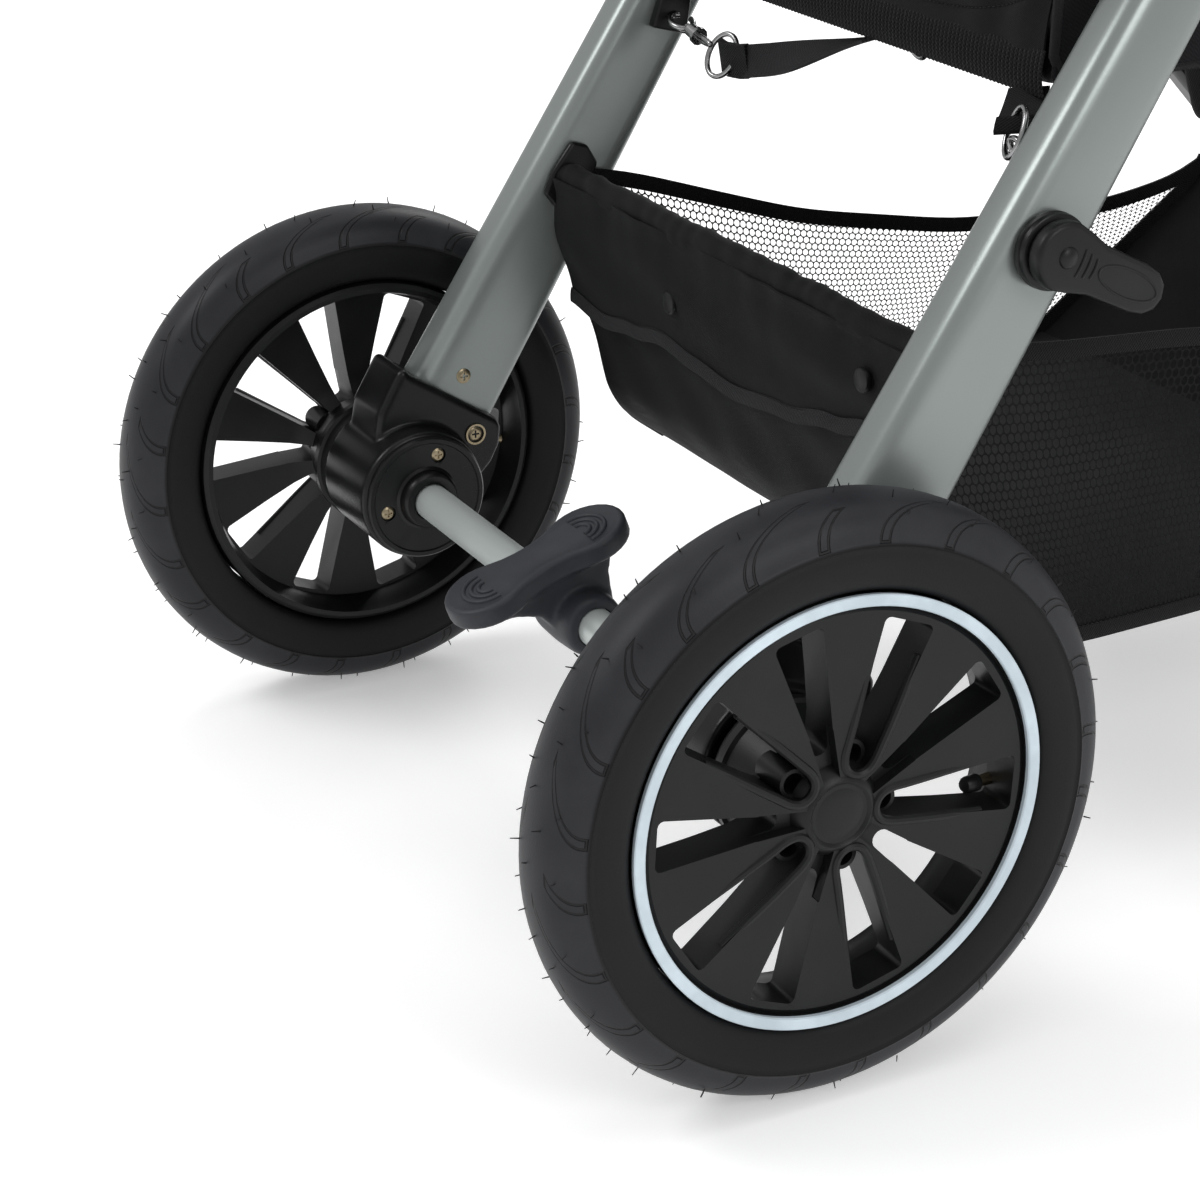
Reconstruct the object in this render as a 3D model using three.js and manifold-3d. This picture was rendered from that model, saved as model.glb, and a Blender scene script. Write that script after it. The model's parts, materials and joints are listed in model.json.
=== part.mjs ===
// Folding baby stroller with large air-tyred rear wheels, swivel front wheels, a mesh basket,
// a suspended seat, a canopy and a fold-down handle.
// Millimetres, +Z up, +Y towards the front of the stroller, +X to its right.
// The rear axle lies on y = 0 inside the outer group; the group is moved so that the origin is
// at the bottom centre of the whole object.
import * as THREE from 'three';
import { mergeVertices } from 'three/addons/utils/BufferGeometryUtils.js';
import Module from 'manifold-3d';

const wasm = await Module();
wasm.setup();

// ---- driving dimensions -------------------------------------------------------------------
const gap = 0.3;                  // clearance between pieces that touch
const runGap = 0.5;               // clearance between pieces that turn on each other

// rear wheels
const legPlaneX = 207;            // centre plane of the legs and of the hubs
const wheelToLeg = 64.1;          // rear wheel's centre plane outside the leg's
const rearTyreR = 150;
const rearTyreHalfW = 24.4;
const rearTyreSection = 42;       // radial height of the tyre
const rearTrack = 2 * (legPlaneX + wheelToLeg);          // between the centre planes of the rear wheels
const rimSlotCount = 10;
const rimSlotInnerR = 32;
const rimSlotEdge = 16;           // from the slots' outer ends to the bead
const rimSlotOuterR = rearTyreR - rearTyreSection - rimSlotEdge;
const rimSlotInnerW = 9;
const rimSlotOuterW = 23;
const rimFaceT = 12;
const rimHubR = 38;
const trimRingW = 5.9;
const trimRingInnerR = rearTyreR - rearTyreSection - trimRingW;
const trimRingT = 3.9;
const stubAxleR = 8;
const hubCapR = 14.5;

// front wheels and their forks
const frontTyreR = 104;
const frontTyreHalfW = 21;
const frontTyreSection = 32;
const frontTrack = 2 * legPlaneX;
const frontAxleY = 620;
const casterTrail = 32;           // fork swivel axis ahead of the wheel axle
const forkArmT = 7;
const forkArmW = 28;
const forkSideGap = 4;
const forkCrownT = 22;
const tyreToCrown = 6;
const frontAxleR = 5;
const stemR = 6;
const casterHousingR = 22;
const casterHousingH = 62;

// frame
const rearLegAngle = 58.25;       // above the horizontal
const rearLegT = 32.3;
const rearLegW0 = 59.4;           // width at the lower end
const rearLegW1 = 41.4;           // width at the upper end
const rearLegCorner = 9;
const rearLegOffset = 2.3;
const rearLegStart = 24;          // from the axle along the leg
const pivotS = 563.9;             // fold pivot, from the axle along the leg
const hubR = 30;
const hubSplit = 0.5;             // half gap between the two lapped hub halves
const hubHalfT = 19;
const lapR = 70;                  // radius beyond which sockets are full thickness
const socketL = 48;
const socketW = 49;
const legMeetZ = 262.438;         // where the front leg's line meets the caster's swivel axis
const frontLegW = 40;
const frontLegT = 30;
const frontLegCorner = 8;
const handlePivotL = 95;          // from the fold pivot, in line with the front leg
const handleHubR = 26;
const linkW = 40;

// rear axle, brackets and brake pedal
const bracketInward = 37;         // from the leg's centre plane
const bracketInX = legPlaneX - bracketInward;
const bracketOutward = 23;
const bracketOutX = legPlaneX + bracketOutward;
const bracketR = 39;
const socketWall = 3;
const socketRear = 43;
const socketFront = 33;
const socketTop = 58;
const coverR = 37;
const coverT = 4.2;
const coverCollarR = 15;
const coverCollarT = 8;
const axleTubeR = 10.5;
const pedalX = 27;
const pedalBarrelR = 17;
const pedalBarrelL = 45;
const pedalPlateL = 108;
const pedalPadR = 22;
const pedalWaistW = 25;
const pedalPlateT = 11;
const pedalTilt = 21.6;
const pedalPlateY = -28;
const pedalPlateZ = 36;

// quick release lever on the right rear leg
const leverS = 273;
const leverBossR = 19;
const leverBossL = 8;
const leverL = 50;
const leverW = 25;
const leverT = 9;
const leverAngle = -26;

// basket
const basketLegClear = 0.85;
const basketHalfW = legPlaneX - rearLegT / 2 - basketLegClear;
const basketWall = 3;
const basketBarY = 103;
const basketBarZ = 325;
const basketBarR = 6;
const basketBarClear = 1;
const frontBarY = 586;
const frontBarZ = 288;
const frontBarR = 7;
const barPlateT = 6;

// seat
const seatHalfW = 165;
const seatPivotY = 298.688;       // the fold pivot's place in the seat's layout
const seatPivotZ = 628.303;
const seatRearAt = 182;
const seatFrontAt = 462;
const seatBottomAt = 438;
const seatBaseT = 29;
const cushionT = 24;
const cushionHalfW = 148;
const sideT = 4;
const backHalfW = 144;
const backL = 395;
const backT = 26;
const backPivotAtY = 212;
const backPivotAtZ = 512;
const backLean = 11;              // from the vertical
const mountR = 22;
const footrestHalfW = 145;
const footrestL = 140;
const footrestT = 16;
const footrestAtY = 478;
const footrestAtZ = 450;
const footrestLean = 20;          // from the vertical

// bumper bar
const bumperAtY = 318;
const bumperAtZ = 642;
const bumperReach = 190;
const bumperR = 10;
const bumperHalfW = 152;

// canopy
const canopyAtY = 240;
const canopyAtZ = 770;
const canopyR = 246;
const canopyHubClear = 1;
const canopyHalfW = legPlaneX - hubHalfT - canopyHubClear;
const canopyWall = 4;
const canopyStep = 5;             // difference between nested hood panels
const canopyAngles = [[97, 142], [53, 99], [10, 55]];

// handle
const handleR = 14;
const handleL = 468;              // pivot to the grip's centre line
const handleCorner = 62;
const gripR = 18;
const gripL = 230;

// straps that hang the seat on the rear legs
const strapW = 18;
const strapT = 2;

// ---- materials ----------------------------------------------------------------------------
function paint(color, roughness, metalness) {
  return new THREE.MeshStandardMaterial({ color, roughness, metalness });
}
const silver = paint(0xa9b0ac, 0.35, 0.5);
const black = paint(0x1b1b1c, 0.5, 0.0);
const frameBlack = paint(0x202124, 0.35, 0.4);
const rubber = paint(0x252628, 0.75, 0.0);
const ringWhite = paint(0xd5dfe6, 0.4, 0.0);
const charcoal = paint(0x303236, 0.6, 0.0);
const cloth = paint(0x17181b, 0.95, 0.0);
const steel = paint(0xb9b9b5, 0.3, 1.0);
const foam = paint(0x262626, 0.9, 0.0);

// ---- solid helpers ------------------------------------------------------------------------
function solid(geometry) {
  const g = geometry.index ? geometry.toNonIndexed() : geometry.clone();
  g.deleteAttribute('normal');
  g.deleteAttribute('uv');
  const m = mergeVertices(g, 1e-4);
  return new wasm.Manifold(new wasm.Mesh({
    numProp: 3,
    vertProperties: new Float32Array(m.attributes.position.array),
    triVerts: new Uint32Array(m.index.array),
  }));
}

function toGeometry(manifold) {
  const out = manifold.getMesh();
  const g = new THREE.BufferGeometry();
  g.setAttribute('position', new THREE.BufferAttribute(new Float32Array(out.vertProperties), 3));
  g.setIndex(new THREE.BufferAttribute(new Uint32Array(out.triVerts), 1));
  return g;
}

const stroller = new THREE.Group();

function add(name, manifold, material) {
  const mesh = new THREE.Mesh(toGeometry(manifold), material);
  mesh.name = name;
  stroller.add(mesh);
  return mesh;
}

// A mirrored copy on the other side of x = 0.
function mirrored(manifold) {
  const out = manifold.getMesh();
  const p = new Float32Array(out.vertProperties);
  for (let i = 0; i < p.length; i += 3) {
    p[i] = -p[i];
  }
  const t = new Uint32Array(out.triVerts);
  for (let i = 0; i < t.length; i += 3) {
    const k = t[i + 1];
    t[i + 1] = t[i + 2];
    t[i + 2] = k;
  }
  return new wasm.Manifold(new wasm.Mesh({ numProp: 3, vertProperties: p, triVerts: t }));
}

function pair(name, manifold, material) {
  add(name + '_right', manifold, material);
  add(name + '_left', mirrored(manifold), material);
}

function box(x0, x1, y0, y1, z0, z1) {
  const g = new THREE.BoxGeometry(x1 - x0, y1 - y0, z1 - z0);
  g.translate((x0 + x1) / 2, (y0 + y1) / 2, (z0 + z1) / 2);
  return solid(g);
}

// A cylinder along X from x0 to x1.
function cylX(r, x0, x1, y, z, seg = 24) {
  const g = new THREE.CylinderGeometry(r, r, x1 - x0, seg);
  g.rotateZ(-Math.PI / 2);
  g.translate((x0 + x1) / 2, y, z);
  return solid(g);
}

function cylZ(r, z0, z1, x, y, seg = 24) {
  const g = new THREE.CylinderGeometry(r, r, z1 - z0, seg);
  g.rotateX(Math.PI / 2);
  g.translate(x, y, (z0 + z1) / 2);
  return solid(g);
}

// An outline in the YZ plane, given as [y, z] points, extruded from x0 to x1.
function plateX(points, x0, x1) {
  const shape = new THREE.Shape(points.map((p) => new THREE.Vector2(p[0], p[1])));
  const g = new THREE.ExtrudeGeometry(shape, { depth: x1 - x0, bevelEnabled: false });
  // shape x -> world y, shape y -> world z, depth -> world x
  const m = new THREE.Matrix4().set(0, 0, 1, x0, 1, 0, 0, 0, 0, 1, 0, 0, 0, 0, 0, 1);
  g.applyMatrix4(m);
  return solid(g);
}

// A turned piece about the X axis: closed profile of [x, r] points.
function turned(profile, y, z, seg) {
  const points = profile.map((p) => new THREE.Vector2(p[1], p[0]));
  points.push(points[0].clone());
  const g = new THREE.LatheGeometry(points, seg);
  g.rotateZ(-Math.PI / 2);
  g.translate(0, y, z);
  const s = solid(g);
  if (s.volume() >= 0) {
    return s;
  }
  const flipped = g.index.array;
  for (let i = 0; i < flipped.length; i += 3) {
    const k = flipped[i + 1];
    flipped[i + 1] = flipped[i + 2];
    flipped[i + 2] = k;
  }
  return solid(g);
}

// A rounded rectangle in the local plane: w across X, h across Y.
function roundedRect(w, h, r, n = 2) {
  const pts = [];
  const corners = [[w / 2 - r, h / 2 - r, 0], [-w / 2 + r, h / 2 - r, 1],
    [-w / 2 + r, -h / 2 + r, 2], [w / 2 - r, -h / 2 + r, 3]];
  for (const [cx, cy, q] of corners) {
    for (let i = 0; i <= n; i += 1) {
      const a = (q + i / n) * Math.PI / 2;
      pts.push(new THREE.Vector2(cx + r * Math.cos(a), cy + r * Math.sin(a)));
    }
  }
  return new THREE.Shape(pts);
}

// A straight bar in the YZ plane at x, starting at y, z, running at an angle (degrees from +Y
// towards +Z) from s0 to s1; its width lies in the plane and may taper.
function bar(x, y, z, angle, s0, s1, thick, w0, w1, corner, side = 0) {
  const g = new THREE.ExtrudeGeometry(roundedRect(thick, w0, corner), {
    depth: s1 - s0, bevelEnabled: false, steps: 1 });
  const p = g.attributes.position;
  for (let i = 0; i < p.count; i += 1) {
    if (p.getZ(i) > (s1 - s0) / 2) {
      p.setY(i, p.getY(i) * w1 / w0);
    }
  }
  const a = angle * Math.PI / 180;
  const along = new THREE.Vector3(0, Math.cos(a), Math.sin(a));
  const xAxis = new THREE.Vector3(1, 0, 0);
  const across = new THREE.Vector3().crossVectors(along, xAxis);
  const m = new THREE.Matrix4().makeBasis(xAxis, across, along);
  const start = new THREE.Vector3(x, y, z).addScaledVector(along, s0).addScaledVector(across, side);
  m.setPosition(start);
  g.applyMatrix4(m);
  return solid(g);
}

function onLine(y, z, angle, s, n = 0) {
  const a = angle * Math.PI / 180;
  return [y + s * Math.cos(a) + n * Math.sin(a), z + s * Math.sin(a) - n * Math.cos(a)];
}

// A round tube through points.
function roundTube(points, r, steps, sides) {
  const curve = new THREE.CatmullRomCurve3(points, false, 'centripetal');
  const pts = [];
  for (let i = 0; i < sides; i += 1) {
    const a = i / sides * 2 * Math.PI;
    pts.push(new THREE.Vector2(r * Math.cos(a), r * Math.sin(a)));
  }
  const g = new THREE.ExtrudeGeometry(new THREE.Shape(pts), {
    steps, bevelEnabled: false, extrudePath: curve });
  return solid(g);
}

// ---- derived positions --------------------------------------------------------------------
const axleZ = rearTyreR;
const rearWheelX = rearTrack / 2;
const frontWheelX = frontTrack / 2;
const stemY = frontAxleY + casterTrail;
const crownZ0 = 2 * frontTyreR + tyreToCrown;
const crownZ1 = crownZ0 + forkCrownT;
const housingZ0 = crownZ1 + runGap;
const housingZ1 = housingZ0 + casterHousingH;
const [pivotY, pivotZ] = onLine(0, axleZ, rearLegAngle, pivotS, rearLegOffset);
const frontLegAngle = Math.atan2(pivotZ - legMeetZ, stemY - pivotY) * 180 / Math.PI;
// the seat's layout is carried by the fold pivot
const seatShiftY = pivotY - seatPivotY;
const seatShiftZ = pivotZ - seatPivotZ;
const seatRearY = seatRearAt + seatShiftY;
const seatFrontY = seatFrontAt + seatShiftY;
const seatBottomZ = seatBottomAt + seatShiftZ;
const backPivotY = backPivotAtY + seatShiftY;
const backPivotZ = backPivotAtZ + seatShiftZ;
const footrestPivotY = footrestAtY + seatShiftY;
const footrestPivotZ = footrestAtZ + seatShiftZ;
const bumperPivotY = bumperAtY + seatShiftY;
const bumperPivotZ = bumperAtZ + seatShiftZ;
const canopyY = canopyAtY + seatShiftY;
const canopyZ = canopyAtZ + seatShiftZ;
const rearDown = rearLegAngle + 180;
const frontDown = -frontLegAngle;
const handleUp = 180 - frontLegAngle;
const [handleY, handleZ] = onLine(pivotY, pivotZ, handleUp, handlePivotL);
const bracketX = bracketInX;
const rimHubInX = bracketOutX + 1.5;

// ---- rear wheels --------------------------------------------------------------------------
{
  const c = rearWheelX;
  const w = rearTyreHalfW;
  const bead = rearTyreR - rearTyreSection;
  const profile = [
    [c - 15, bead], [c + 15, bead], [c + w - 3.9, bead + 1.3], [c + w - 0.6, bead + 10],
    [c + w, bead + 18], [c + w - 2.4, bead + 28], [c + w - 8.4, bead + 36.5],
    [c + 7, rearTyreR], [c - 7, rearTyreR], [c - w + 8.4, bead + 36.5],
    [c - w + 2.4, bead + 28], [c - w, bead + 18], [c - w + 0.6, bead + 10],
    [c - w + 3.9, bead + 1.3]];
  pair('rear_tyre', turned(profile, 0, axleZ, 32), rubber);

  const rimR = bead - gap;
  const faceX = c + 18;
  let rim = turned([
    [rimHubInX, stubAxleR + gap], [faceX, stubAxleR + gap], [faceX, rimR - 6],
    [c + 15, rimR], [c - 15, rimR], [c - 21, rimR - 1], [c - 21, rimR - 5],
    [faceX - rimFaceT, rimR - 8], [faceX - rimFaceT, rimHubR], [rimHubInX, rimHubR]],
  0, axleZ, 32);
  for (let i = 0; i < rimSlotCount; i += 1) {
    const a = (i + 0.5) / rimSlotCount * 2 * Math.PI;
    const outline = [[rimSlotInnerR + 8, -rimSlotInnerW / 2], [rimSlotOuterR, -rimSlotOuterW / 2],
      [rimSlotOuterR, rimSlotOuterW / 2], [rimSlotInnerR + 8, rimSlotInnerW / 2]];
    const turnedOutline = outline.map(([u, v]) => [u * Math.cos(a) - v * Math.sin(a),
      axleZ + u * Math.sin(a) + v * Math.cos(a)]);
    rim = rim.subtract(plateX(turnedOutline, faceX - rimFaceT - 2, faceX + 2));
  }
  pair('rear_rim', rim, black);

  const ringX = faceX + gap;
  pair('rear_trim_ring', turned([
    [ringX, trimRingInnerR], [ringX, bead - gap], [ringX + trimRingT, bead - gap],
    [ringX + trimRingT, trimRingInnerR]], 0, axleZ, 32), ringWhite);
  pair('rear_hub_cap', cylX(hubCapR, faceX + gap, faceX + 5, 0, axleZ, 20), black);
  pair('wheel_axle', cylX(stubAxleR, bracketOutX + gap, faceX - 2, 0, axleZ, 16), steel);
}

// ---- front wheels and forks ---------------------------------------------------------------
{
  const c = frontWheelX;
  const w = frontTyreHalfW;
  const bead = frontTyreR - frontTyreSection;
  const profile = [
    [c - 12, bead], [c + 12, bead], [c + w - 2, bead + 4], [c + w, bead + 13],
    [c + w - 5, bead + 25], [c + 7, frontTyreR], [c - 7, frontTyreR], [c - w + 5, bead + 25],
    [c - w, bead + 13], [c - w + 2, bead + 4]];
  pair('front_tyre', turned(profile, frontAxleY, frontTyreR, 24), rubber);
  const rimR = bead - gap;
  const bore = frontAxleR + runGap;
  let rim = turned([
    [c - 20, bore], [c + 20, bore], [c + 20, 16], [c + 10, 22], [c + 10, rimR - 8],
    [c + 15, rimR - 6], [c + 12, rimR], [c - 12, rimR], [c - 15, rimR - 6], [c - 10, rimR - 8],
    [c - 10, 22], [c - 20, 16]], frontAxleY, frontTyreR, 24);
  for (let i = 0; i < 5; i += 1) {
    const a = (i + 0.5) / 5 * 2 * Math.PI;
    const outline = [[28, -6], [rimR - 14, -14], [rimR - 14, 14], [28, 6]];
    const t = outline.map(([u, v]) => [frontAxleY + u * Math.cos(a) - v * Math.sin(a),
      frontTyreR + u * Math.sin(a) + v * Math.cos(a)]);
    rim = rim.subtract(plateX(t, c - 14, c + 14));
  }
  pair('front_rim', rim, black);

  const armIn = w + forkSideGap;
  const armOut = armIn + forkArmT;
  const headT = 4;
  const axle = turned([
    [c - armOut - headT, 0], [c - armOut - headT, 8], [c - armOut - gap, 8],
    [c - armOut - gap, frontAxleR], [c + armOut + gap, frontAxleR], [c + armOut + gap, 8],
    [c + armOut + headT, 8], [c + armOut + headT, 0]], frontAxleY, frontTyreR, 16);
  pair('front_axle', axle, steel);

  let fork = box(c - armOut, c + armOut, stemY - 26, stemY + 22, crownZ0, crownZ1);
  const h = forkArmW / 2;
  const arm = [[stemY - 26, crownZ0 + 4], [stemY + 22, crownZ0 + 4],
    [stemY + 14, crownZ0 - 44], [frontAxleY + h, frontTyreR + 2], [frontAxleY + h * 0.7,
      frontTyreR - h * 0.7], [frontAxleY, frontTyreR - h], [frontAxleY - h * 0.7,
      frontTyreR - h * 0.7], [frontAxleY - h, frontTyreR + 2], [stemY - 44, crownZ0 - 44]];
  fork = fork.add(plateX(arm, c + armIn, c + armOut));
  fork = fork.add(plateX(arm, c - armOut, c - armIn));
  fork = fork.add(cylZ(stemR, crownZ1 - 4, housingZ1 - 12, c, stemY, 16));
  fork = fork.subtract(cylX(frontAxleR + gap, c - armOut - 2, c + armOut + 2, frontAxleY,
    frontTyreR, 16));
  pair('fork', fork, black);

  const housing = cylZ(casterHousingR, housingZ0, housingZ1, c, stemY, 24)
    .subtract(cylZ(stemR + runGap, housingZ0 - 2, housingZ1 - 10, c, stemY, 16));
  pair('caster_housing', housing, black);
}

// ---- front legs, hubs and rear legs -------------------------------------------------------
{
  const x = legPlaneX;
  const halfIn0 = x - hubHalfT;
  const halfIn1 = x - hubSplit;
  const halfOut0 = x + hubSplit;
  const halfOut1 = x + hubHalfT;
  const midIn = (halfIn0 + halfIn1) / 2;
  const midOut = (halfOut0 + halfOut1) / 2;
  const lap = hubHalfT - hubSplit;

  let hub = cylX(hubR, halfIn0, halfIn1, pivotY, pivotZ, 28);
  hub = hub.add(cylX(handleHubR, halfIn0, halfIn1, handleY, handleZ, 24));
  hub = hub.add(bar(midIn, pivotY, pivotZ, handleUp, 0, handlePivotL, lap, linkW, linkW, 3));
  hub = hub.add(bar(midIn, pivotY, pivotZ, frontDown, 0, lapR + 4, lap, linkW, linkW, 3));
  hub = hub.add(bar(x, pivotY, pivotZ, frontDown, lapR, lapR + socketL, 2 * hubHalfT,
    socketW, socketW, 6));
  pair('frame_hub', hub, black);

  let rearHub = cylX(hubR, halfOut0, halfOut1, pivotY, pivotZ, 28);
  rearHub = rearHub.add(bar(midOut, pivotY, pivotZ, rearDown, 0, lapR + 4, lap, linkW, linkW, 3));
  rearHub = rearHub.add(bar(x, pivotY, pivotZ, rearDown, lapR, lapR + socketL, 2 * hubHalfT,
    socketW, socketW, 6));
  pair('rear_hub', rearHub, black);

  // the front leg meets the round caster housing
  const legEnd = (stemY - pivotY) / Math.cos(frontLegAngle * Math.PI / 180);
  let leg = bar(x, pivotY, pivotZ, frontDown, lapR + socketL + gap, legEnd, frontLegT,
    frontLegW, frontLegW, frontLegCorner);
  leg = leg.subtract(cylZ(casterHousingR + gap, housingZ0 - 80, housingZ1 + 80, frontWheelX,
    stemY, 24));
  leg = leg.subtract(box(frontWheelX - 60, frontWheelX + 60, stemY, stemY + 200, 0, 600));
  pair('front_leg', leg, frameBlack);

  const legTop = pivotS - lapR - socketL - gap;
  const rearLeg = bar(x, 0, axleZ, rearLegAngle, rearLegStart, legTop, rearLegT, rearLegW0,
    rearLegW1, rearLegCorner, rearLegOffset);
  pair('rear_leg', rearLeg, silver);

  // bracket that holds the leg, the axle tube and the wheel
  const fullLeg = bar(x, 0, axleZ, rearLegAngle, rearLegStart - gap, legTop + 10,
    rearLegT + 2 * gap, rearLegW0 + 2 * gap, rearLegW1 + 2 * gap, rearLegCorner, rearLegOffset);
  const st = rearLegT + 2 * socketWall;
  const sw = socketRear + socketFront;
  let bracket = cylX(bracketR, bracketInX, bracketOutX, 0, axleZ, 32);
  bracket = bracket.add(bar(x, 0, axleZ, rearLegAngle, 0, socketTop, st, sw, sw, 4,
    (socketFront - socketRear) / 2));
  bracket = bracket.subtract(fullLeg);
  pair('hub_bracket', bracket, black);

  const coverX = bracketX - gap;
  const hole = axleTubeR + gap;
  const cover = turned([
    [coverX, hole], [coverX, coverR], [coverX - coverT + 1, coverR], [coverX - coverT, coverR - 1],
    [coverX - coverT, coverCollarR], [coverX - coverCollarT - coverT, coverCollarR],
    [coverX - coverCollarT - coverT, hole]], 0, axleZ, 24);
  pair('bracket_cover', cover, black);
  add('axle_tube', cylX(axleTubeR, -coverX, coverX, 0, axleZ, 24), silver);
}

// ---- brake pedal --------------------------------------------------------------------------
{
  const half = pedalBarrelL / 2;
  let pedal = cylX(pedalBarrelR, pedalX - half, pedalX + half, 0, axleZ, 24);
  // bow-tie plate: two round pads joined by a waist, lying in a tilted plane
  const pts = [];
  const off = pedalPlateL / 2 - pedalPadR;
  const n = 10;
  for (let i = 0; i <= n; i += 1) {
    const a = -Math.PI / 2 - 0.25 + i / n * (Math.PI + 0.5);
    pts.push([off + pedalPadR * Math.cos(a), pedalPadR * Math.sin(a)]);
  }
  pts.push([0, pedalWaistW / 2]);
  for (let i = 0; i <= n; i += 1) {
    const a = Math.PI / 2 - 0.25 + i / n * (Math.PI + 0.5);
    pts.push([-off + pedalPadR * Math.cos(a), pedalPadR * Math.sin(a)]);
  }
  pts.push([0, -pedalWaistW / 2]);
  const shape = new THREE.Shape(pts.map((p) => new THREE.Vector2(p[0], p[1])));
  const g = new THREE.ExtrudeGeometry(shape, { depth: pedalPlateT, bevelEnabled: false });
  g.translate(0, 0, -pedalPlateT / 2);
  const t = pedalTilt * Math.PI / 180;
  const along = new THREE.Vector3(0, Math.cos(t), Math.sin(t));
  const up = new THREE.Vector3(0, -Math.sin(t), Math.cos(t));
  const m = new THREE.Matrix4().makeBasis(along, new THREE.Vector3().crossVectors(up, along), up);
  m.setPosition(pedalX, pedalPlateY, axleZ + pedalPlateZ);
  g.applyMatrix4(m);
  pedal = pedal.add(solid(g));
  // stem from the barrel up to the plate
  const stemPts = [[-16, 4], [-2, 16], [14, 6], [16, 14], [pedalPlateY + 30, pedalPlateZ + 6],
    [pedalPlateY - 16, pedalPlateZ - 8]];
  pedal = pedal.add(plateX(stemPts.map(([y, z]) => [y, axleZ + z]), pedalX - 9, pedalX + 9));
  pedal = pedal.subtract(cylX(axleTubeR + runGap, pedalX - 40, pedalX + 40, 0, axleZ, 24));
  add('brake_pedal', pedal, charcoal);
}

// ---- quick release lever ------------------------------------------------------------------
{
  const [y, z] = onLine(0, axleZ, rearLegAngle, leverS, rearLegOffset);
  const x0 = legPlaneX + rearLegT / 2 + gap;
  const x1 = x0 + leverBossL;
  add('lever_boss', cylX(leverBossR, x0, x1, y, z, 24), black);
  const x2 = x1 + gap;
  let lever = cylX(leverBossR - 1, x2, x2 + leverT, y, z, 24);
  const tip = leverW / 2;
  const outline = [[0, -tip], [leverL - 6, -tip], [leverL + 4, -tip + 5], [leverL + 8, 0],
    [leverL + 4, tip - 5], [leverL - 6, tip], [0, tip]];
  const a = leverAngle * Math.PI / 180;
  const pts = outline.map(([u, v]) => [y + u * Math.cos(a) - v * Math.sin(a),
    z + u * Math.sin(a) + v * Math.cos(a)]);
  lever = lever.add(plateX(pts, x2, x2 + leverT));
  add('lever', lever, charcoal);
}

// ---- basket and its bars ------------------------------------------------------------------
{
  const wall = basketWall;
  const by = basketBarY;
  const bz = basketBarZ;
  const fy = frontBarY;
  const fz = frontBarZ;
  const outer = [[by - 5, bz - 8], [by - 3, bz - 25], [by + 11, bz - 78], [by + 19, bz - 97],
    [by + 27, bz - 130], [by + 39, bz - 150], [by + 65, bz - 169], [by + 107, bz - 170],
    [by + 179, bz - 167], [by + 297, bz - 157], [fy - 137, fz - 111], [fy - 76, fz - 65],
    [fy - 17, fz - 22], [fy - 10, fz - 5], [fy - 16, fz - 8], [fy - 95, fz - 26],
    [by + 279, bz - 62], [by + 161, bz - 39], [by + 91, bz - 17], [by + 36, bz + 1]];
  const inner = [[by - 5 + wall, bz + 80], [by - 5 + wall, bz - 8], [by - 3 + wall, bz - 24],
    [by + 11 + wall, bz - 77], [by + 19 + wall, bz - 96], [by + 27 + wall, bz - 129],
    [by + 40.5 + wall, bz - 148], [by + 66, bz - 169 + wall], [by + 107, bz - 170 + wall],
    [by + 179, bz - 167 + wall], [by + 297, bz - 157 + wall], [fy - 138, fz - 111 + wall],
    [fy - 78, fz - 64.4 + wall], [fy - 19.6 - wall / 2, fz - 21.4 + wall],
    [fy - 14.5 - wall / 2, fz - 8], [fy - 14.5 - wall / 2, fz + 120]];
  let basket = plateX(outer, -basketHalfW, basketHalfW);
  basket = basket.subtract(plateX(inner, -basketHalfW + wall, basketHalfW - wall));
  basket = basket.subtract(cylX(basketBarR + basketBarClear, -300, 300, by, bz, 20));
  add('basket', basket, cloth);

  const legIn = legPlaneX - rearLegT / 2;
  add('basket_bar', cylX(basketBarR, -legIn + gap, legIn - gap, by, bz, 16), frameBlack);

  const plateX1 = legPlaneX - frontLegT / 2 - gap;
  const plateX0 = plateX1 - barPlateT;
  add('front_bar', cylX(frontBarR, -plateX0 + gap, plateX0 - gap, fy, fz, 16), frameBlack);
  const low = [[fy - 9, fz - 9], [fy + 9, fz - 9], [fy + 16, fz + 10]];
  const s = (fy - pivotY) / Math.cos(frontLegAngle * Math.PI / 180);
  const top1 = onLine(pivotY, pivotZ, frontDown, s - 6, 0);
  const top0 = onLine(pivotY, pivotZ, frontDown, s - 34, 0);
  pair('bar_plate', plateX([...low, top1, top0], plateX0, plateX1), frameBlack);
}

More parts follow.
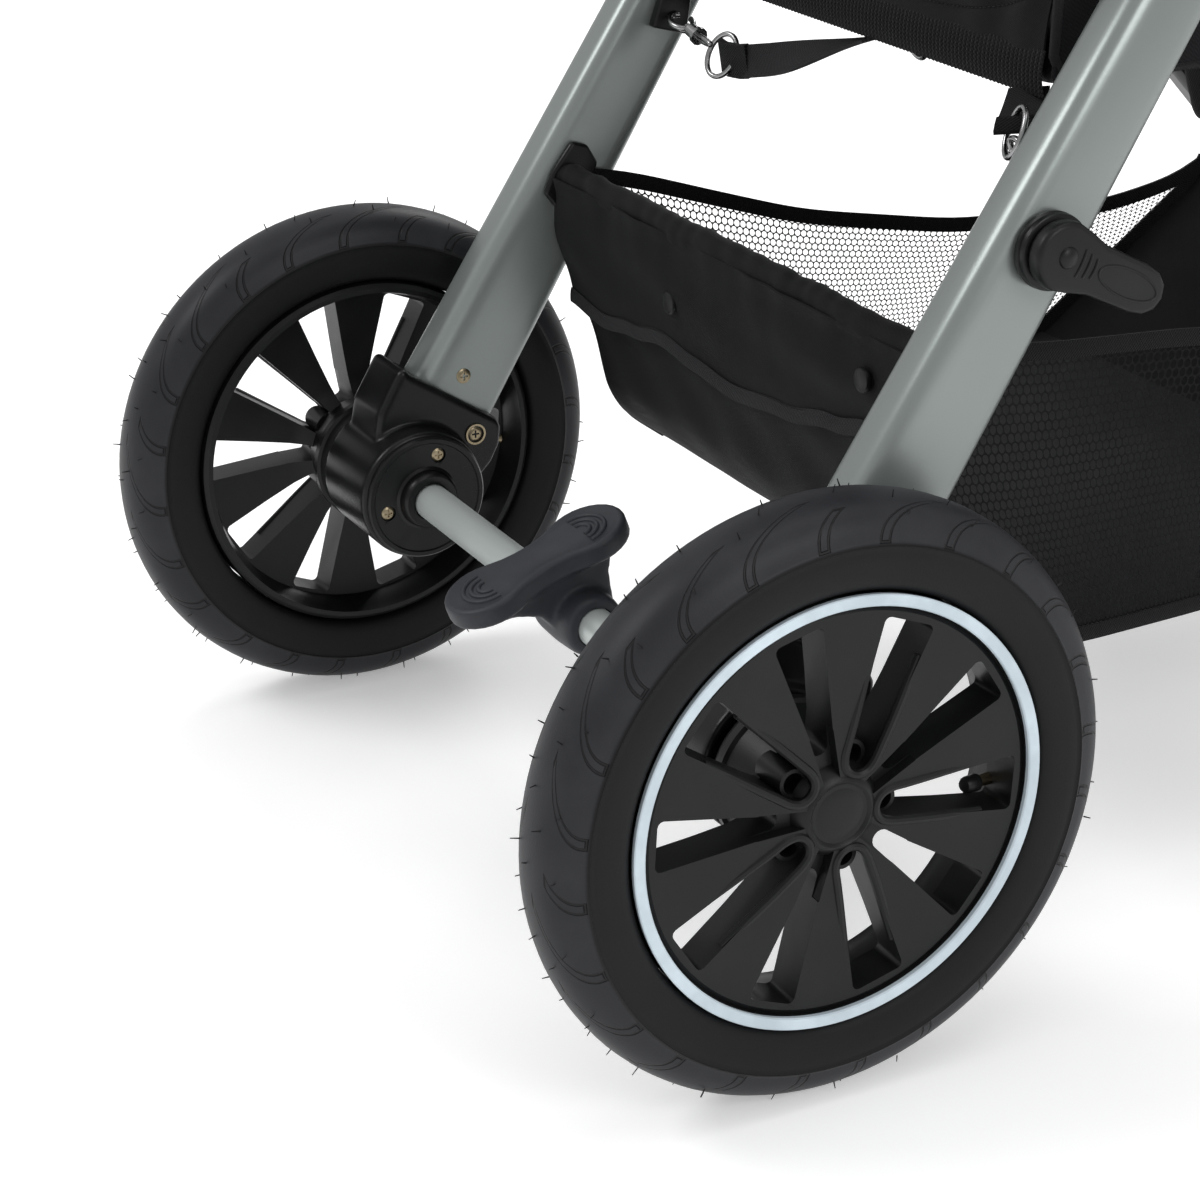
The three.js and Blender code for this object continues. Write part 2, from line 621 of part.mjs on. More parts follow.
// ---- seat ---------------------------------------------------------------------------------
const sideX0 = seatHalfW + 1;
const sideX1 = sideX0 + sideT;
{
  const z0 = seatBottomZ;
  const z1 = z0 + seatBaseT;
  const y0 = seatRearY;
  const y1 = seatFrontY;
  add('seat_base', plateX([[y0 + 4, z0], [y1 - 8, z0], [y1, z0 + 8], [y1, z1 - 8], [y1 - 8, z1],
    [y0 + 4, z1], [y0, z1 - 4], [y0, z0 + 4]], -seatHalfW, seatHalfW), cloth);
  const c0 = z1 + gap;
  const c1 = c0 + cushionT;
  add('seat_cushion', plateX([[y0 + 56, c0], [y1 - 3, c0], [y1 + 1, c0 + 6], [y1 - 8, c1],
    [y0 + 60, c1], [y0 + 50, c1 - 8]], -cushionHalfW, cushionHalfW), cloth);

  const by = bumperPivotY;
  const bz = bumperPivotZ;
  const side = [[y0 + 2, z0 + 7], [y1 - 4, z0 + 7], [y1, z1 + 14], [by + 86, bz - 82],
    [by + 30, bz + 16], [canopyY + 28, canopyZ + 10], [canopyY + 14, canopyZ + 24],
    [canopyY - 14, canopyZ + 24], [canopyY - 28, canopyZ + 4], [y0 + 18, bz],
    [y0 + 4, z1 + 50]];
  pair('seat_side', plateX(side, sideX0, sideX1), cloth);

  const hubIn = legPlaneX - hubHalfT;
  pair('seat_mount', cylX(mountR, sideX1 + gap, hubIn - gap, pivotY, pivotZ, 20), black);
}

// ---- backrest and footrest ----------------------------------------------------------------
{
  const a = 90 + backLean;
  const h = backT / 2;
  const y = backPivotY;
  const z = backPivotZ;
  let back = bar(0, y, z, a, 0, backL, 2 * backHalfW, backT, backT, 8);
  back = back.add(cylX(h, -backHalfW, backHalfW, y, z, 16));
  add('backrest', back, cloth);
  const pad = bar(0, y, z, a, 22, backL - 18, 2 * backHalfW - 40, 14, 14, 5, h + 7 + gap);
  add('back_pad', pad, cloth);

  const f = footrestT / 2;
  const fa = -90 + footrestLean;
  let foot = bar(0, footrestPivotY, footrestPivotZ, fa, 0, footrestL, 2 * footrestHalfW,
    footrestT, footrestT, 5);
  foot = foot.add(cylX(f, -footrestHalfW, footrestHalfW, footrestPivotY, footrestPivotZ, 16));
  add('footrest', foot, cloth);
}

// ---- bumper bar ---------------------------------------------------------------------------
{
  const y = bumperPivotY;
  const z = bumperPivotZ;
  const w = bumperHalfW;
  const rc = 60;
  const p = [];
  const tip = y + bumperReach;
  p.push(new THREE.Vector3(-w, y, z));
  p.push(new THREE.Vector3(-w, y + (bumperReach - rc) / 2, z));
  for (let i = 0; i <= 3; i += 1) {
    const a = i / 3 * Math.PI / 2;
    p.push(new THREE.Vector3(-w + rc - rc * Math.cos(a), tip - rc + rc * Math.sin(a), z));
  }
  p.push(new THREE.Vector3(0, tip + 8, z));
  for (let i = 3; i >= 0; i -= 1) {
    const a = i / 3 * Math.PI / 2;
    p.push(new THREE.Vector3(w - rc + rc * Math.cos(a), tip - rc + rc * Math.sin(a), z));
  }
  p.push(new THREE.Vector3(w, y + (bumperReach - rc) / 2, z));
  p.push(new THREE.Vector3(w, y, z));
  let bumper = roundTube(p, bumperR, 20, 8);
  const x1 = sideX0 - gap;
  bumper = bumper.add(cylX(14, w - 6, x1, y, z, 16));
  bumper = bumper.add(cylX(14, -x1, -w + 6, y, z, 16));
  add('bumper_bar', bumper, foam);
}

// ---- canopy -------------------------------------------------------------------------------
function hood(angles, shrink) {
  const r = canopyR - shrink;
  const w = canopyHalfW - shrink;
  const t = canopyWall;
  const k = 18;
  const profile = [[-w, k], [-w, r - 74], [-w + 12, r - 34], [-w + 44, r - 8], [-w + 90, r],
    [w - 90, r], [w - 44, r - 8], [w - 12, r - 34], [w, r - 74], [w, k],
    [w - t, k], [w - t, r - 76], [w - 12 - t, r - 36], [w - 45, r - 8 - t], [w - 90, r - t],
    [-w + 90, r - t], [-w + 45, r - 8 - t], [-w + 12 + t, r - 36], [-w + t, r - 76],
    [-w + t, k]];
  const shell = turned(profile, canopyY, canopyZ, 40);
  const [a0, a1] = angles.map((v) => v * Math.PI / 180);
  const wedge = [[canopyY, canopyZ]];
  for (let i = 0; i <= 4; i += 1) {
    const a = a0 + (a1 - a0) * i / 4;
    wedge.push([canopyY + 400 * Math.cos(a), canopyZ + 400 * Math.sin(a)]);
  }
  return shell.intersect(plateX(wedge, -w - 10, w + 10));
}
{
  // three hood panels, each one body, that nest inside each other towards the back
  const plate = (shrink) => {
    const w = canopyHalfW - shrink;
    return [cylX(19, w - canopyWall, w, canopyY, canopyZ, 20),
      cylX(19, -w, -w + canopyWall, canopyY, canopyZ, 20)];
  };
  const names = ['canopy_rear', 'canopy_middle', 'canopy_front'];
  names.forEach((name, i) => {
    const shrink = 0;
    const step = i * canopyStep;
    let panel = hood(canopyAngles[i], shrink + step);
    for (const disc of plate(shrink + step)) {
      panel = panel.add(disc);
    }
    add(name, panel, cloth);
  });
}

// ---- handle -------------------------------------------------------------------------------
{
  const x = legPlaneX;
  const lap = hubHalfT - hubSplit;
  const mid = x + hubSplit + lap / 2;
  const at = (xx, s) => {
    const [y, z] = onLine(handleY, handleZ, handleUp, s);
    return new THREE.Vector3(xx, y, z);
  };
  const rc = handleCorner;
  const p = [at(-x, 52), at(-x, (handleL - rc) / 2), at(-x, handleL - rc - 20)];
  for (let i = 0; i <= 4; i += 1) {
    const a = i / 4 * Math.PI / 2;
    p.push(at(-x + rc - rc * Math.cos(a), handleL - rc + rc * Math.sin(a)));
  }
  p.push(at(-x + rc + 20, handleL));
  p.push(at(0, handleL));
  p.push(at(x - rc - 20, handleL));
  for (let i = 4; i >= 0; i -= 1) {
    const a = i / 4 * Math.PI / 2;
    p.push(at(x - rc + rc * Math.cos(a), handleL - rc + rc * Math.sin(a)));
  }
  p.push(at(x, handleL - rc - 20), at(x, (handleL - rc) / 2), at(x, 52));
  let handle = roundTube(p, handleR, 34, 8);
  const side = cylX(handleHubR, x + hubSplit, x + hubHalfT, handleY, handleZ, 24)
    .add(bar(mid, handleY, handleZ, handleUp, 0, 60, lap, 34, 30, 3))
    .add(bar(x, handleY, handleZ, handleUp, 50, 86, 2 * hubHalfT - 2, 36, 36, 8));
  handle = handle.add(side).add(mirrored(side));
  add('handle', handle, frameBlack);

  const [gy, gz] = onLine(handleY, handleZ, handleUp, handleL);
  const grip = cylX(gripR, -gripL / 2, gripL / 2, gy, gz, 20)
    .subtract(cylX(handleR + gap + 0.4, -gripL, gripL, gy, gz, 20));
  add('handle_grip', grip, foam);
}

// ---- straps from the rear legs to the seat ------------------------------------------------
{
  const x1 = legPlaneX - rearLegT / 2 - gap;
  const hook = [168, 414];
  const lug = plateX([[hook[0] - 11, hook[1] - 6], [hook[0] + 11, hook[1] - 12],
    [hook[0] + 14, hook[1] + 8], [hook[0] - 4, hook[1] + 14]], x1 - 7, x1);
  pair('strap_lug', lug, black);
}

stroller.position.y = -(frontAxleY + frontTyreR - rearTyreR) / 2;
export default stroller;
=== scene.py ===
"""Looks of the folding baby stroller: tyres, rims, painted legs, brackets, pedal, basket, seat, canopy, handle.

Everything is in metres. Lengths in the functions below are written in millimetres from the rear axle's
line on the floor (x to the right, y forwards, z up) and changed to metres by at().
"""
import json
import math
import random

import bpy
from mathutils import Matrix, Vector

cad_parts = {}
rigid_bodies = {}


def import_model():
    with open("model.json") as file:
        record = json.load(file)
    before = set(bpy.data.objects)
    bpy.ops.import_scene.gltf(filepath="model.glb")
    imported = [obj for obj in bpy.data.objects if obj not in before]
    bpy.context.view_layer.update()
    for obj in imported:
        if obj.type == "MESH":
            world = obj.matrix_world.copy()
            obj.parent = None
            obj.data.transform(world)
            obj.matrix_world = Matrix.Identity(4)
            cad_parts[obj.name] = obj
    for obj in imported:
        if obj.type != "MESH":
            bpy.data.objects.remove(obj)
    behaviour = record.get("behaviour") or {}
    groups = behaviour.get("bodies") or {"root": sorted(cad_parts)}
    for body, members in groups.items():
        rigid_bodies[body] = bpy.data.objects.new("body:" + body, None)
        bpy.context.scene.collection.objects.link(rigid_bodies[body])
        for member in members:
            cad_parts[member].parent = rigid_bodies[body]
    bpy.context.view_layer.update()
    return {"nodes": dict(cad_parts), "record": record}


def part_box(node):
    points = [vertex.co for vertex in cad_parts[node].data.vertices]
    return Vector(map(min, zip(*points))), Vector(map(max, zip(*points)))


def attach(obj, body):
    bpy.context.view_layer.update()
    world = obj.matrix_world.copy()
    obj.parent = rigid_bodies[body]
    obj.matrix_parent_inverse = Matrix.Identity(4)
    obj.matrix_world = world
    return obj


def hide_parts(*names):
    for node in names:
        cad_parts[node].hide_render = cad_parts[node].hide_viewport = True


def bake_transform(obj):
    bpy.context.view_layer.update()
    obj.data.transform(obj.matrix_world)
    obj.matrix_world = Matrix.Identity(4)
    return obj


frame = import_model()
random.seed(7)

axle_lo, axle_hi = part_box("axle_tube")
AXLE_Y = (axle_lo.y + axle_hi.y) / 2
AXLE_Z = (axle_lo.z + axle_hi.z) / 2 * 1000
JOINTS = {j["name"]: j for j in frame["record"]["behaviour"]["joints"]}
SIDES = (("right", 1), ("left", -1))


def at(x, y, z):
    return Vector((x / 1000, y / 1000 + AXLE_Y, z / 1000))


def pivot(joint):
    p = JOINTS[joint]["pos_m"]
    return p[0] * 1000, (p[1] - AXLE_Y) * 1000, p[2] * 1000


# ---------------------------------------------------------------- camera, floor and lamps
camera_data = bpy.data.cameras.new("camera")
camera_data.lens = 88.85
camera_data.sensor_width = 36
camera_data.shift_x = 0.01368
camera_data.shift_y = -0.0432
camera_data.clip_end = 50
camera = bpy.data.objects.new("camera", camera_data)
bpy.context.collection.objects.link(camera)
camera.location = at(1314.6, -656.1, 763.8)
camera.rotation_euler = (math.radians(90 - 21.76), 0, math.radians(62.87))
bpy.context.scene.camera = camera


def lamp(name, place, target, size, power, colour=(1, 1, 1)):
    data = bpy.data.lights.new(name, "AREA")
    data.shape = "RECTANGLE"
    data.size, data.size_y = size
    data.energy = power
    data.color = colour
    lamp_object = bpy.data.objects.new(name, data)
    bpy.context.collection.objects.link(lamp_object)
    lamp_object.location = place
    aim = Vector(target) - Vector(place)
    lamp_object.rotation_euler = aim.to_track_quat("-Z", "Y").to_euler()


lamp("key_softbox", (-1.2, -2.6, 2.9), (0, -0.1, 0.35), (1.5, 1.2), 42)
lamp("side_softbox", (3.0, 0.4, 1.9), (0, -0.1, 0.3), (1.3, 1.3), 28)
lamp("back_softbox", (-2.2, 2.2, 2.2), (0, 0, 0.3), (1.5, 1.2), 30)
lamp("top_softbox", (0.3, 0.2, 3.4), (0, 0, 0), (2.4, 2.4), 24)

world = bpy.data.worlds.new("studio")
bpy.context.scene.world = world
world.use_nodes = True
world.node_tree.nodes["Background"].inputs["Color"].default_value = (1, 1, 1, 1)
world.node_tree.nodes["Background"].inputs["Strength"].default_value = 0.58
bpy.context.scene.view_settings.view_transform = "Standard"


# ---------------------------------------------------------------- shader maths
class Wire:
    """A value socket, with the usual arithmetic on it."""

    def __init__(self, tree, socket):
        self.tree = tree
        self.socket = socket

    def maths(self, kind, other=None, third=None, swap=False):
        node = self.tree.nodes.new("ShaderNodeMath")
        node.operation = kind
        values = (other, self) if swap else (self, other, third)
        for place, value in zip(node.inputs, values):
            if isinstance(value, Wire):
                self.tree.links.new(value.socket, place)
            elif value is not None:
                place.default_value = value
        return Wire(self.tree, node.outputs[0])

    def __add__(self, other):
        return self.maths("ADD", other)

    __radd__ = __add__

    def __sub__(self, other):
        return self.maths("SUBTRACT", other)

    def __rsub__(self, other):
        return self.maths("SUBTRACT", other, swap=True)

    def __mul__(self, other):
        return self.maths("MULTIPLY", other)

    __rmul__ = __mul__

    def __truediv__(self, other):
        return self.maths("DIVIDE", other)

    def __gt__(self, other):
        return self.maths("GREATER_THAN", other)

    def __lt__(self, other):
        return self.maths("LESS_THAN", other)

    def sine(self):
        return self.maths("SINE")

    def fraction(self):
        return self.maths("FRACT")

    def size(self):
        return self.maths("ABSOLUTE")

    def larger(self, other):
        return self.maths("MAXIMUM", other)

    def band(self, low, high):
        """0 below low, 1 above high, smooth between."""
        node = self.tree.nodes.new("ShaderNodeMapRange")
        node.interpolation_type = "SMOOTHSTEP"
        self.tree.links.new(self.socket, node.inputs["Value"])
        node.inputs["From Min"].default_value = low
        node.inputs["From Max"].default_value = high
        return Wire(self.tree, node.outputs["Result"])


class Finish:
    """A material being built; its material attribute is the result."""

    def __init__(self, name, **sockets):
        self.material = bpy.data.materials.new(name)
        self.material.use_nodes = True
        self.tree = self.material.node_tree
        self.shader = self.tree.nodes["Principled BSDF"]
        for socket, value in sockets.items():
            self.set(socket.replace("_", " "), value)

    def set(self, socket, value):
        place = self.shader.inputs[socket]
        if isinstance(value, Wire):
            self.tree.links.new(value.socket, place)
        elif isinstance(value, (tuple, list)) and len(value) == 3:
            place.default_value = (*value, 1)
        else:
            place.default_value = value

    def node(self, kind, settings=None, output=0, **values):
        node = self.tree.nodes.new(kind)
        for key, value in (settings or {}).items():
            setattr(node, key, value)
        for key, value in values.items():
            place = node.inputs[key.replace("_", " ")]
            if isinstance(value, Wire):
                self.tree.links.new(value.socket, place)
            else:
                place.default_value = value
        return Wire(self.tree, node.outputs[output])

    def place(self):
        return self.node("ShaderNodeTexCoord", output="Object")

    def sheet(self):
        """The piece's own sewing or tread coordinates."""
        return self.node("ShaderNodeUVMap")

    def split(self, vector):
        node = self.tree.nodes.new("ShaderNodeSeparateXYZ")
        self.tree.links.new(vector.socket, node.inputs[0])
        return [Wire(self.tree, out) for out in node.outputs]

    def cloud(self, scale, detail=3.0, roughness=0.5, where=None):
        return self.node("ShaderNodeTexNoise", output="Fac", Vector=where or self.place(),
                         Scale=scale, Detail=detail, Roughness=roughness)

    def blend_colours(self, mask, first, second):
        node = self.tree.nodes.new("ShaderNodeMix")
        node.data_type = "RGBA"
        self.tree.links.new(mask.socket, node.inputs["Factor"])
        colours = [s for s in node.inputs if s.type == "RGBA"]
        for place, value in zip(colours, (first, second)):
            if isinstance(value, Wire):
                self.tree.links.new(value.socket, place)
            else:
                place.default_value = (*value, 1)
        result = [s for s in node.outputs if s.type == "RGBA"][0]
        return Wire(self.tree, result)

    def relief(self, height, distance, strength=1.0):
        node = self.tree.nodes.new("ShaderNodeBump")
        node.inputs["Strength"].default_value = strength
        node.inputs["Distance"].default_value = distance
        self.tree.links.new(height.socket, node.inputs["Height"])
        self.set("Normal", Wire(self.tree, node.outputs["Normal"]))


def painted_tube(name, colour, metallic, rough):
    """Powder coat: faint orange peel, slow changes of tone."""
    f = Finish(name, Metallic=metallic)
    slow = f.cloud(7, 3)
    fine = f.cloud(700, 2)
    dark = tuple(c * 0.93 for c in colour)
    f.set("Base Color", f.blend_colours(slow.band(0.3, 0.7), dark, colour))
    f.set("Roughness", slow * 0.08 + fine * 0.05 + (rough - 0.06))
    f.relief(fine * 0.6 + f.cloud(220, 2) * 0.4, 0.00006, 0.5)
    return f.material


def moulded(name, colour, rough, grain=0.00007, coat=0.0):
    """Injection moulded plastic with a fine spark-eroded grain and lighter, rougher patches; their lightness is a
    painted sheen.
    """
    f = Finish(name, Specular_IOR_Level=0.24)
    fine = f.cloud(1400, 2)
    patch = f.cloud(22, 4, 0.6)
    light = tuple(c * 1.35 + 0.002 for c in colour)
    # Lighter patches in the colour: a painted sheen at random places; the rougher finish that goes with them is real.
    f.set("Base Color", f.blend_colours(patch.band(0.35, 0.8), colour, light))
    f.set("Roughness", patch * 0.14 + fine * 0.08 + (rough - 0.11))
    f.set("Coat Weight", coat)
    f.relief(fine, grain, 0.6)
    return f.material


def air_tyre(name, tread_pairs, tread):
    """Rubber with slim moulded strips over the shoulders; u runs round the tyre, v across it."""
    f = Finish(name, Specular_IOR_Level=0.2)
    u, v, _ = f.split(f.sheet())
    strips = None
    far = (v - 0.5).size()
    for side in (1, -1):
        facing = (v > 0.5) if side == 1 else (v < 0.5)
        for offset, bend, near, end in ((0.0, 0.36, 0.05, 0.338), (0.36, 0.12, 0.15, 0.334),
                                        (0.66, 0.30, 0.09, 0.336)):
            climb = (far - end) * (1 / (near - end))
            along = u * tread_pairs + climb * climb * bend + (offset + (0.37 if side < 0 else 0))
            width = (along.fraction() - 0.5).size() - 0.022
            reach = ((far - (near + end) / 2).size() - (end - near) / 2) * 0.95
            line = (1 - width.larger(reach).size().band(0.003, 0.0085)) * facing
            strips = line if strips is None else strips.larger(line)
    fine = f.cloud(900, 3)
    dust = f.cloud(14, 5, 0.65)
    wall = far.band(tread - 0.012, tread + 0.012)
    tone = f.blend_colours(dust.band(0.35, 0.75), (0.0175, 0.018, 0.021), (0.027, 0.0276, 0.0315))
    tone = f.blend_colours(wall, tone, (0.0045, 0.0045, 0.005))
    f.set("Base Color", f.blend_colours(strips, tone, (0.009, 0.009, 0.010)))
    f.set("Roughness", dust * 0.2 + wall * 0.08 + 0.36)
    f.relief(fine * 0.06 - strips + dust * 0.12, 0.0012, 1.0)
    return f.material


def woven(name, colour, pitch, rough=0.85, sheen=0.25, light=None, wrinkle=0.0):
    """Plain weave on the piece's sewing coordinates, in metres."""
    f = Finish(name, Specular_IOR_Level=0.07)
    f.set("Sheen Weight", sheen * 0.3)
    f.set("Sheen Roughness", 0.5)
    u, v, _ = f.split(f.sheet())
    warp = (u * (math.tau / pitch)).sine()
    weft = (v * (math.tau / pitch)).sine()
    weave = warp * weft
    slow = f.cloud(30, 4, 0.6)
    light = light or tuple(c * 1.9 + 0.004 for c in colour)
    f.set("Base Color", f.blend_colours(weave.band(-0.9, 1.0) * 0.6 + slow.band(0.3, 0.8) * 0.4,
                                        colour, light))
    f.set("Roughness", weave * 0.04 + slow * 0.1 + (rough - 0.05))
    height = weave * 0.5
    if wrinkle:
        height = height + f.cloud(18, 3, 0.55) * wrinkle
    f.relief(height, 0.00022, 0.7)
    return f.material


def knitted(name, colour, pitch):
    """Cloth for rounded pads: crossed threads on object coordinates."""
    f = Finish(name, Specular_IOR_Level=0.07)
    f.set("Sheen Weight", 0.06)
    x, y, z = f.split(f.place())
    k = math.tau / pitch
    a = ((x + y * 0.35) * k).sine()
    b = ((z + y * 0.93) * k).sine()
    weave = a * b
    slow = f.cloud(16, 4, 0.6)
    light = tuple(c * 2.0 + 0.004 for c in colour)
    f.set("Base Color", f.blend_colours(weave.band(-0.8, 0.9) * 0.55 + slow.band(0.3, 0.8) * 0.45,
                                        colour, light))
    f.set("Roughness", slow * 0.12 + 0.78)
    f.relief(weave * 0.5 + slow * 0.8, 0.00025, 0.7)
    return f.material


def netting(name, colour, cell, thread):
    """Open warp-knit net: round holes on a staggered grid, in metres."""
    f = Finish(name, Specular_IOR_Level=0.15)
    f.set("Roughness", 0.75)
    u, v, _ = f.split(f.sheet())
    row = v * (1.0 / (cell * 0.866))
    shift = (row * 0.5).fraction()
    odd = (shift > 0.5) * 0.5
    cu = ((u * (1.0 / cell) + odd).fraction() - 0.5) * 2.0
    cv = (row.fraction() - 0.5) * 1.75
    far = (cu * cu + cv * cv).maths("SQRT")
    hole = far < (1.0 - thread)
    f.set("Alpha", 1 - hole)
    f.set("Base Color", f.blend_colours(f.cloud(60, 3).band(0.3, 0.7), colour,
                                        tuple(c * 1.8 for c in colour)))
    f.relief(1 - far, 0.0003, 0.6)
    return f.material


def webbing(name, colour):
    f = Finish(name, Specular_IOR_Level=0.15)
    f.set("Sheen Weight", 0.04)
    u, v, _ = f.split(f.sheet())
    rib = (u * (math.tau / 0.0016)).sine() * (v * (math.tau / 0.0022)).sine()
    f.set("Base Color", f.blend_colours(rib.band(-0.7, 0.9), colour, tuple(c * 2.2 for c in colour)))
    f.set("Roughness", rib * 0.06 + 0.7)
    f.relief(rib, 0.0003, 0.8)
    return f.material


def polished(name, colour, rough):
    f = Finish(name, Metallic=1.0)
    slow = f.cloud(60, 4)
    f.set("Base Color", f.blend_colours(slow.band(0.3, 0.7), tuple(c * 0.8 for c in colour), colour))
    f.set("Roughness", slow * 0.15 + (rough - 0.07))
    f.relief(f.cloud(900, 2), 0.00004, 0.4)
    return f.material


SILVER = painted_tube("silver_powder_coat", (0.245, 0.272, 0.262), 0.5, 0.3)
# A lighter copy of the silver powder coat for the axle tube, which shares the legs' paint: its extra lightness is
# painted light.
LIT_SILVER = painted_tube("pale_powder_coat", (0.50, 0.545, 0.53), 0.25, 0.32)
FRAME_BLACK = painted_tube("black_powder_coat", (0.0065, 0.0065, 0.0075), 0.1, 0.3)
BRACKET = moulded("bracket_nylon", (0.0042, 0.0043, 0.0048), 0.3)
RIM = moulded("rim_nylon", (0.0055, 0.0056, 0.006), 0.4)
PEDAL = moulded("pedal_soft_plastic", (0.029, 0.0305, 0.036), 0.45, 0.0001)
TRIM = moulded("trim_ring_enamel", (0.49, 0.565, 0.615), 0.35, 0.00002)
TYRE = air_tyre("rear_air_tyre", 8, 0.345)
SMALL_TYRE = air_tyre("front_air_tyre", 6, 0.345)
SMOOTH_RUBBER = moulded("rubber_hair", (0.008, 0.008, 0.009), 0.55)
BAG_CLOTH = woven("basket_nylon", (0.0026, 0.0026, 0.0031), 0.0011, 0.6, 0.12, wrinkle=3.5)
HEM = webbing("hem_tape", (0.0085, 0.0085, 0.0095))
BINDING = webbing("binding_tape", (0.0022, 0.0022, 0.0027))
WEBBING = webbing("seat_webbing", (0.0085, 0.0085, 0.0095))
NET = netting("basket_net", (0.0028, 0.0028, 0.0032), 0.0046, 0.15)
SEAT_CLOTH = woven("seat_polyester", (0.003, 0.003, 0.0036), 0.0012, 0.8, 0.2, wrinkle=1.5)
PAD_CLOTH = knitted("pad_polyester", (0.0048, 0.0048, 0.0056), 0.0022)
HOOD_CLOTH = woven("canopy_polyester", (0.0062, 0.0064, 0.0078), 0.0013, 0.8, 0.25, wrinkle=1.2)
STEEL = polished("nickel_plate", (0.33, 0.33, 0.335), 0.22)
BRASSY = polished("zinc_screw", (0.36, 0.30, 0.20), 0.35)
FOAM = moulded("grip_foam", (0.0065, 0.0065, 0.007), 0.8, 0.00035)

# ---------------------------------------------------------------- modelling tools
ops = bpy.ops


def pick_only(*things):
    ops.object.select_all(action="DESELECT")
    for thing in things:
        thing.select_set(True)
    bpy.context.view_layer.objects.active = things[0]


def editing(thing):
    pick_only(thing)
    ops.object.mode_set(mode="EDIT")
    ops.mesh.select_all(action="SELECT")


def settle():
    if bpy.context.object and bpy.context.object.mode != "OBJECT":
        ops.object.mode_set(mode="OBJECT")


def modified(thing, kind, **settings):
    settle()
    pick_only(thing)
    modifier = thing.modifiers.new(kind.lower(), kind)
    for key, value in settings.items():
        setattr(modifier, key, value)
    ops.object.modifier_apply(modifier=modifier.name)
    return thing


def rounded(thing, width, segments=2, angle=32):
    modified(thing, "BEVEL", width=width / 1000, segments=segments, limit_method="ANGLE",
             angle_limit=math.radians(angle), use_clamp_overlap=True)
    return thing


def wire_loop(name, points):
    """A closed wire through the points, which are metre vectors."""
    settle()
    ops.object.select_all(action="DESELECT")
    ops.mesh.primitive_circle_add(vertices=len(points), radius=0.1, location=(0, 0, 0))
    loop = bpy.context.object
    loop.name = name
    for vertex, point in zip(loop.data.vertices, points):
        vertex.co = point
    return loop


def spun(name, profile, centre, steps=64, axis="X"):
    """A turned piece: a closed profile of [along, radius] round an axis through centre."""
    if axis == "X":
        points = [at(centre[0] + a, centre[1], centre[2] + r) for a, r in profile]
        direction = (1, 0, 0)
    elif axis == "Z":
        points = [at(centre[0] + r, centre[1], centre[2] + a) for a, r in profile]
        direction = (0, 0, 1)
    else:
        points = [at(centre[0] + r, centre[1] + a, centre[2]) for a, r in profile]
        direction = (0, 1, 0)
    piece = wire_loop(name, points)
    editing(piece)
    ops.mesh.spin(steps=steps, angle=math.tau, center=at(*centre), axis=direction)
    ops.mesh.select_all(action="SELECT")
    ops.mesh.remove_doubles(threshold=0.00002)
    ops.mesh.normals_make_consistent(inside=False)
    settle()
    return piece


def raised(name, outline, lift):
    """A flat outline (metre vectors) filled and extruded along lift."""
    piece = wire_loop(name, outline)
    editing(piece)
    ops.mesh.edge_face_add()
    ops.mesh.extrude_region_move(TRANSFORM_OT_translate={"value": lift})
    ops.mesh.select_all(action="SELECT")
    ops.mesh.normals_make_consistent(inside=False)
    settle()
    return piece


def drawn(name, points, radius, closed=False, sides=8, steps=6):
    """A rod or bead along points."""
    settle()
    ops.object.select_all(action="DESELECT")
    curve = bpy.data.curves.new(name, "CURVE")
    curve.dimensions = "3D"
    curve.bevel_depth = radius / 1000
    curve.bevel_resolution = max(1, sides // 4)
    curve.use_fill_caps = True
    curve.resolution_u = steps
    spline = curve.splines.new("NURBS")
    spline.points.add(len(points) - 1)
    for point, place in zip(spline.points, points):
        point.co = (*place, 1)
    spline.order_u = 3
    spline.use_endpoint_u = not closed
    spline.use_cyclic_u = closed
    piece = bpy.data.objects.new(name, curve)
    bpy.context.collection.objects.link(piece)
    pick_only(piece)
    ops.object.convert(target="MESH")
    piece = bpy.context.object
    piece.name = name
    return piece


CUT = {}


def cloth_sheet(name, across, down, place, size, thickness=0.0):
    """A grid of cloth: place(s, t) gives each point, s and t from 0 to 1; size is the cut, in metres."""
    settle()
    ops.object.select_all(action="DESELECT")
    ops.mesh.primitive_grid_add(x_subdivisions=across, y_subdivisions=down, size=2,
                                calc_uvs=True)
    piece = bpy.context.object
    piece.name = name
    for vertex in piece.data.vertices:
        s, t = (vertex.co.x + 1) / 2, (vertex.co.y + 1) / 2
        vertex.co = place(s, t)
    for loop in piece.data.uv_layers.active.data:
        loop.uv = (loop.uv[0] * size[0], loop.uv[1] * size[1])
    mesh = piece.data
    rows = {}
    for edge in mesh.edges:
        a, b = (mesh.vertices[i] for i in edge.vertices)
        rows.setdefault(0 if abs(edge.vertices[0] - edge.vertices[1]) == 1 else 1, []).append((a.co - b.co).length)
    CUT[piece] = (sum(face.area for face in mesh.polygons), sum(rows[0]) / (down + 1), sum(rows[1]) / (across + 1))
    if thickness:
        modified(piece, "SOLIDIFY", thickness=thickness / 1000, offset=0)
    return piece


def as_sheet(piece, held, rests_on=()):
    area, width, length = CUT[piece]
    length = max(length, area / width * 1.01)


def joined(name, pieces):
    settle()
    pick_only(*pieces)
    if len(pieces) > 1:
        ops.object.join()
    bpy.context.object.name = name
    return bpy.context.object


def copied(piece, change, name=None):
    """Another of the same piece, its own mesh, moved by the matrix."""
    twin = piece.copy()
    twin.data = piece.data.copy()
    bpy.context.collection.objects.link(twin)
    twin.data.transform(change)
    if change.determinant() < 0:
        twin.data.flip_normals()
    if name:
        twin.name = name
    return twin


MIRROR = Matrix.Diagonal((-1, 1, 1, 1))


def cut(piece, cutter, how="DIFFERENCE"):
    modified(piece, "BOOLEAN", object=cutter, operation=how, solver="EXACT")
    bpy.data.objects.remove(cutter)
    return piece


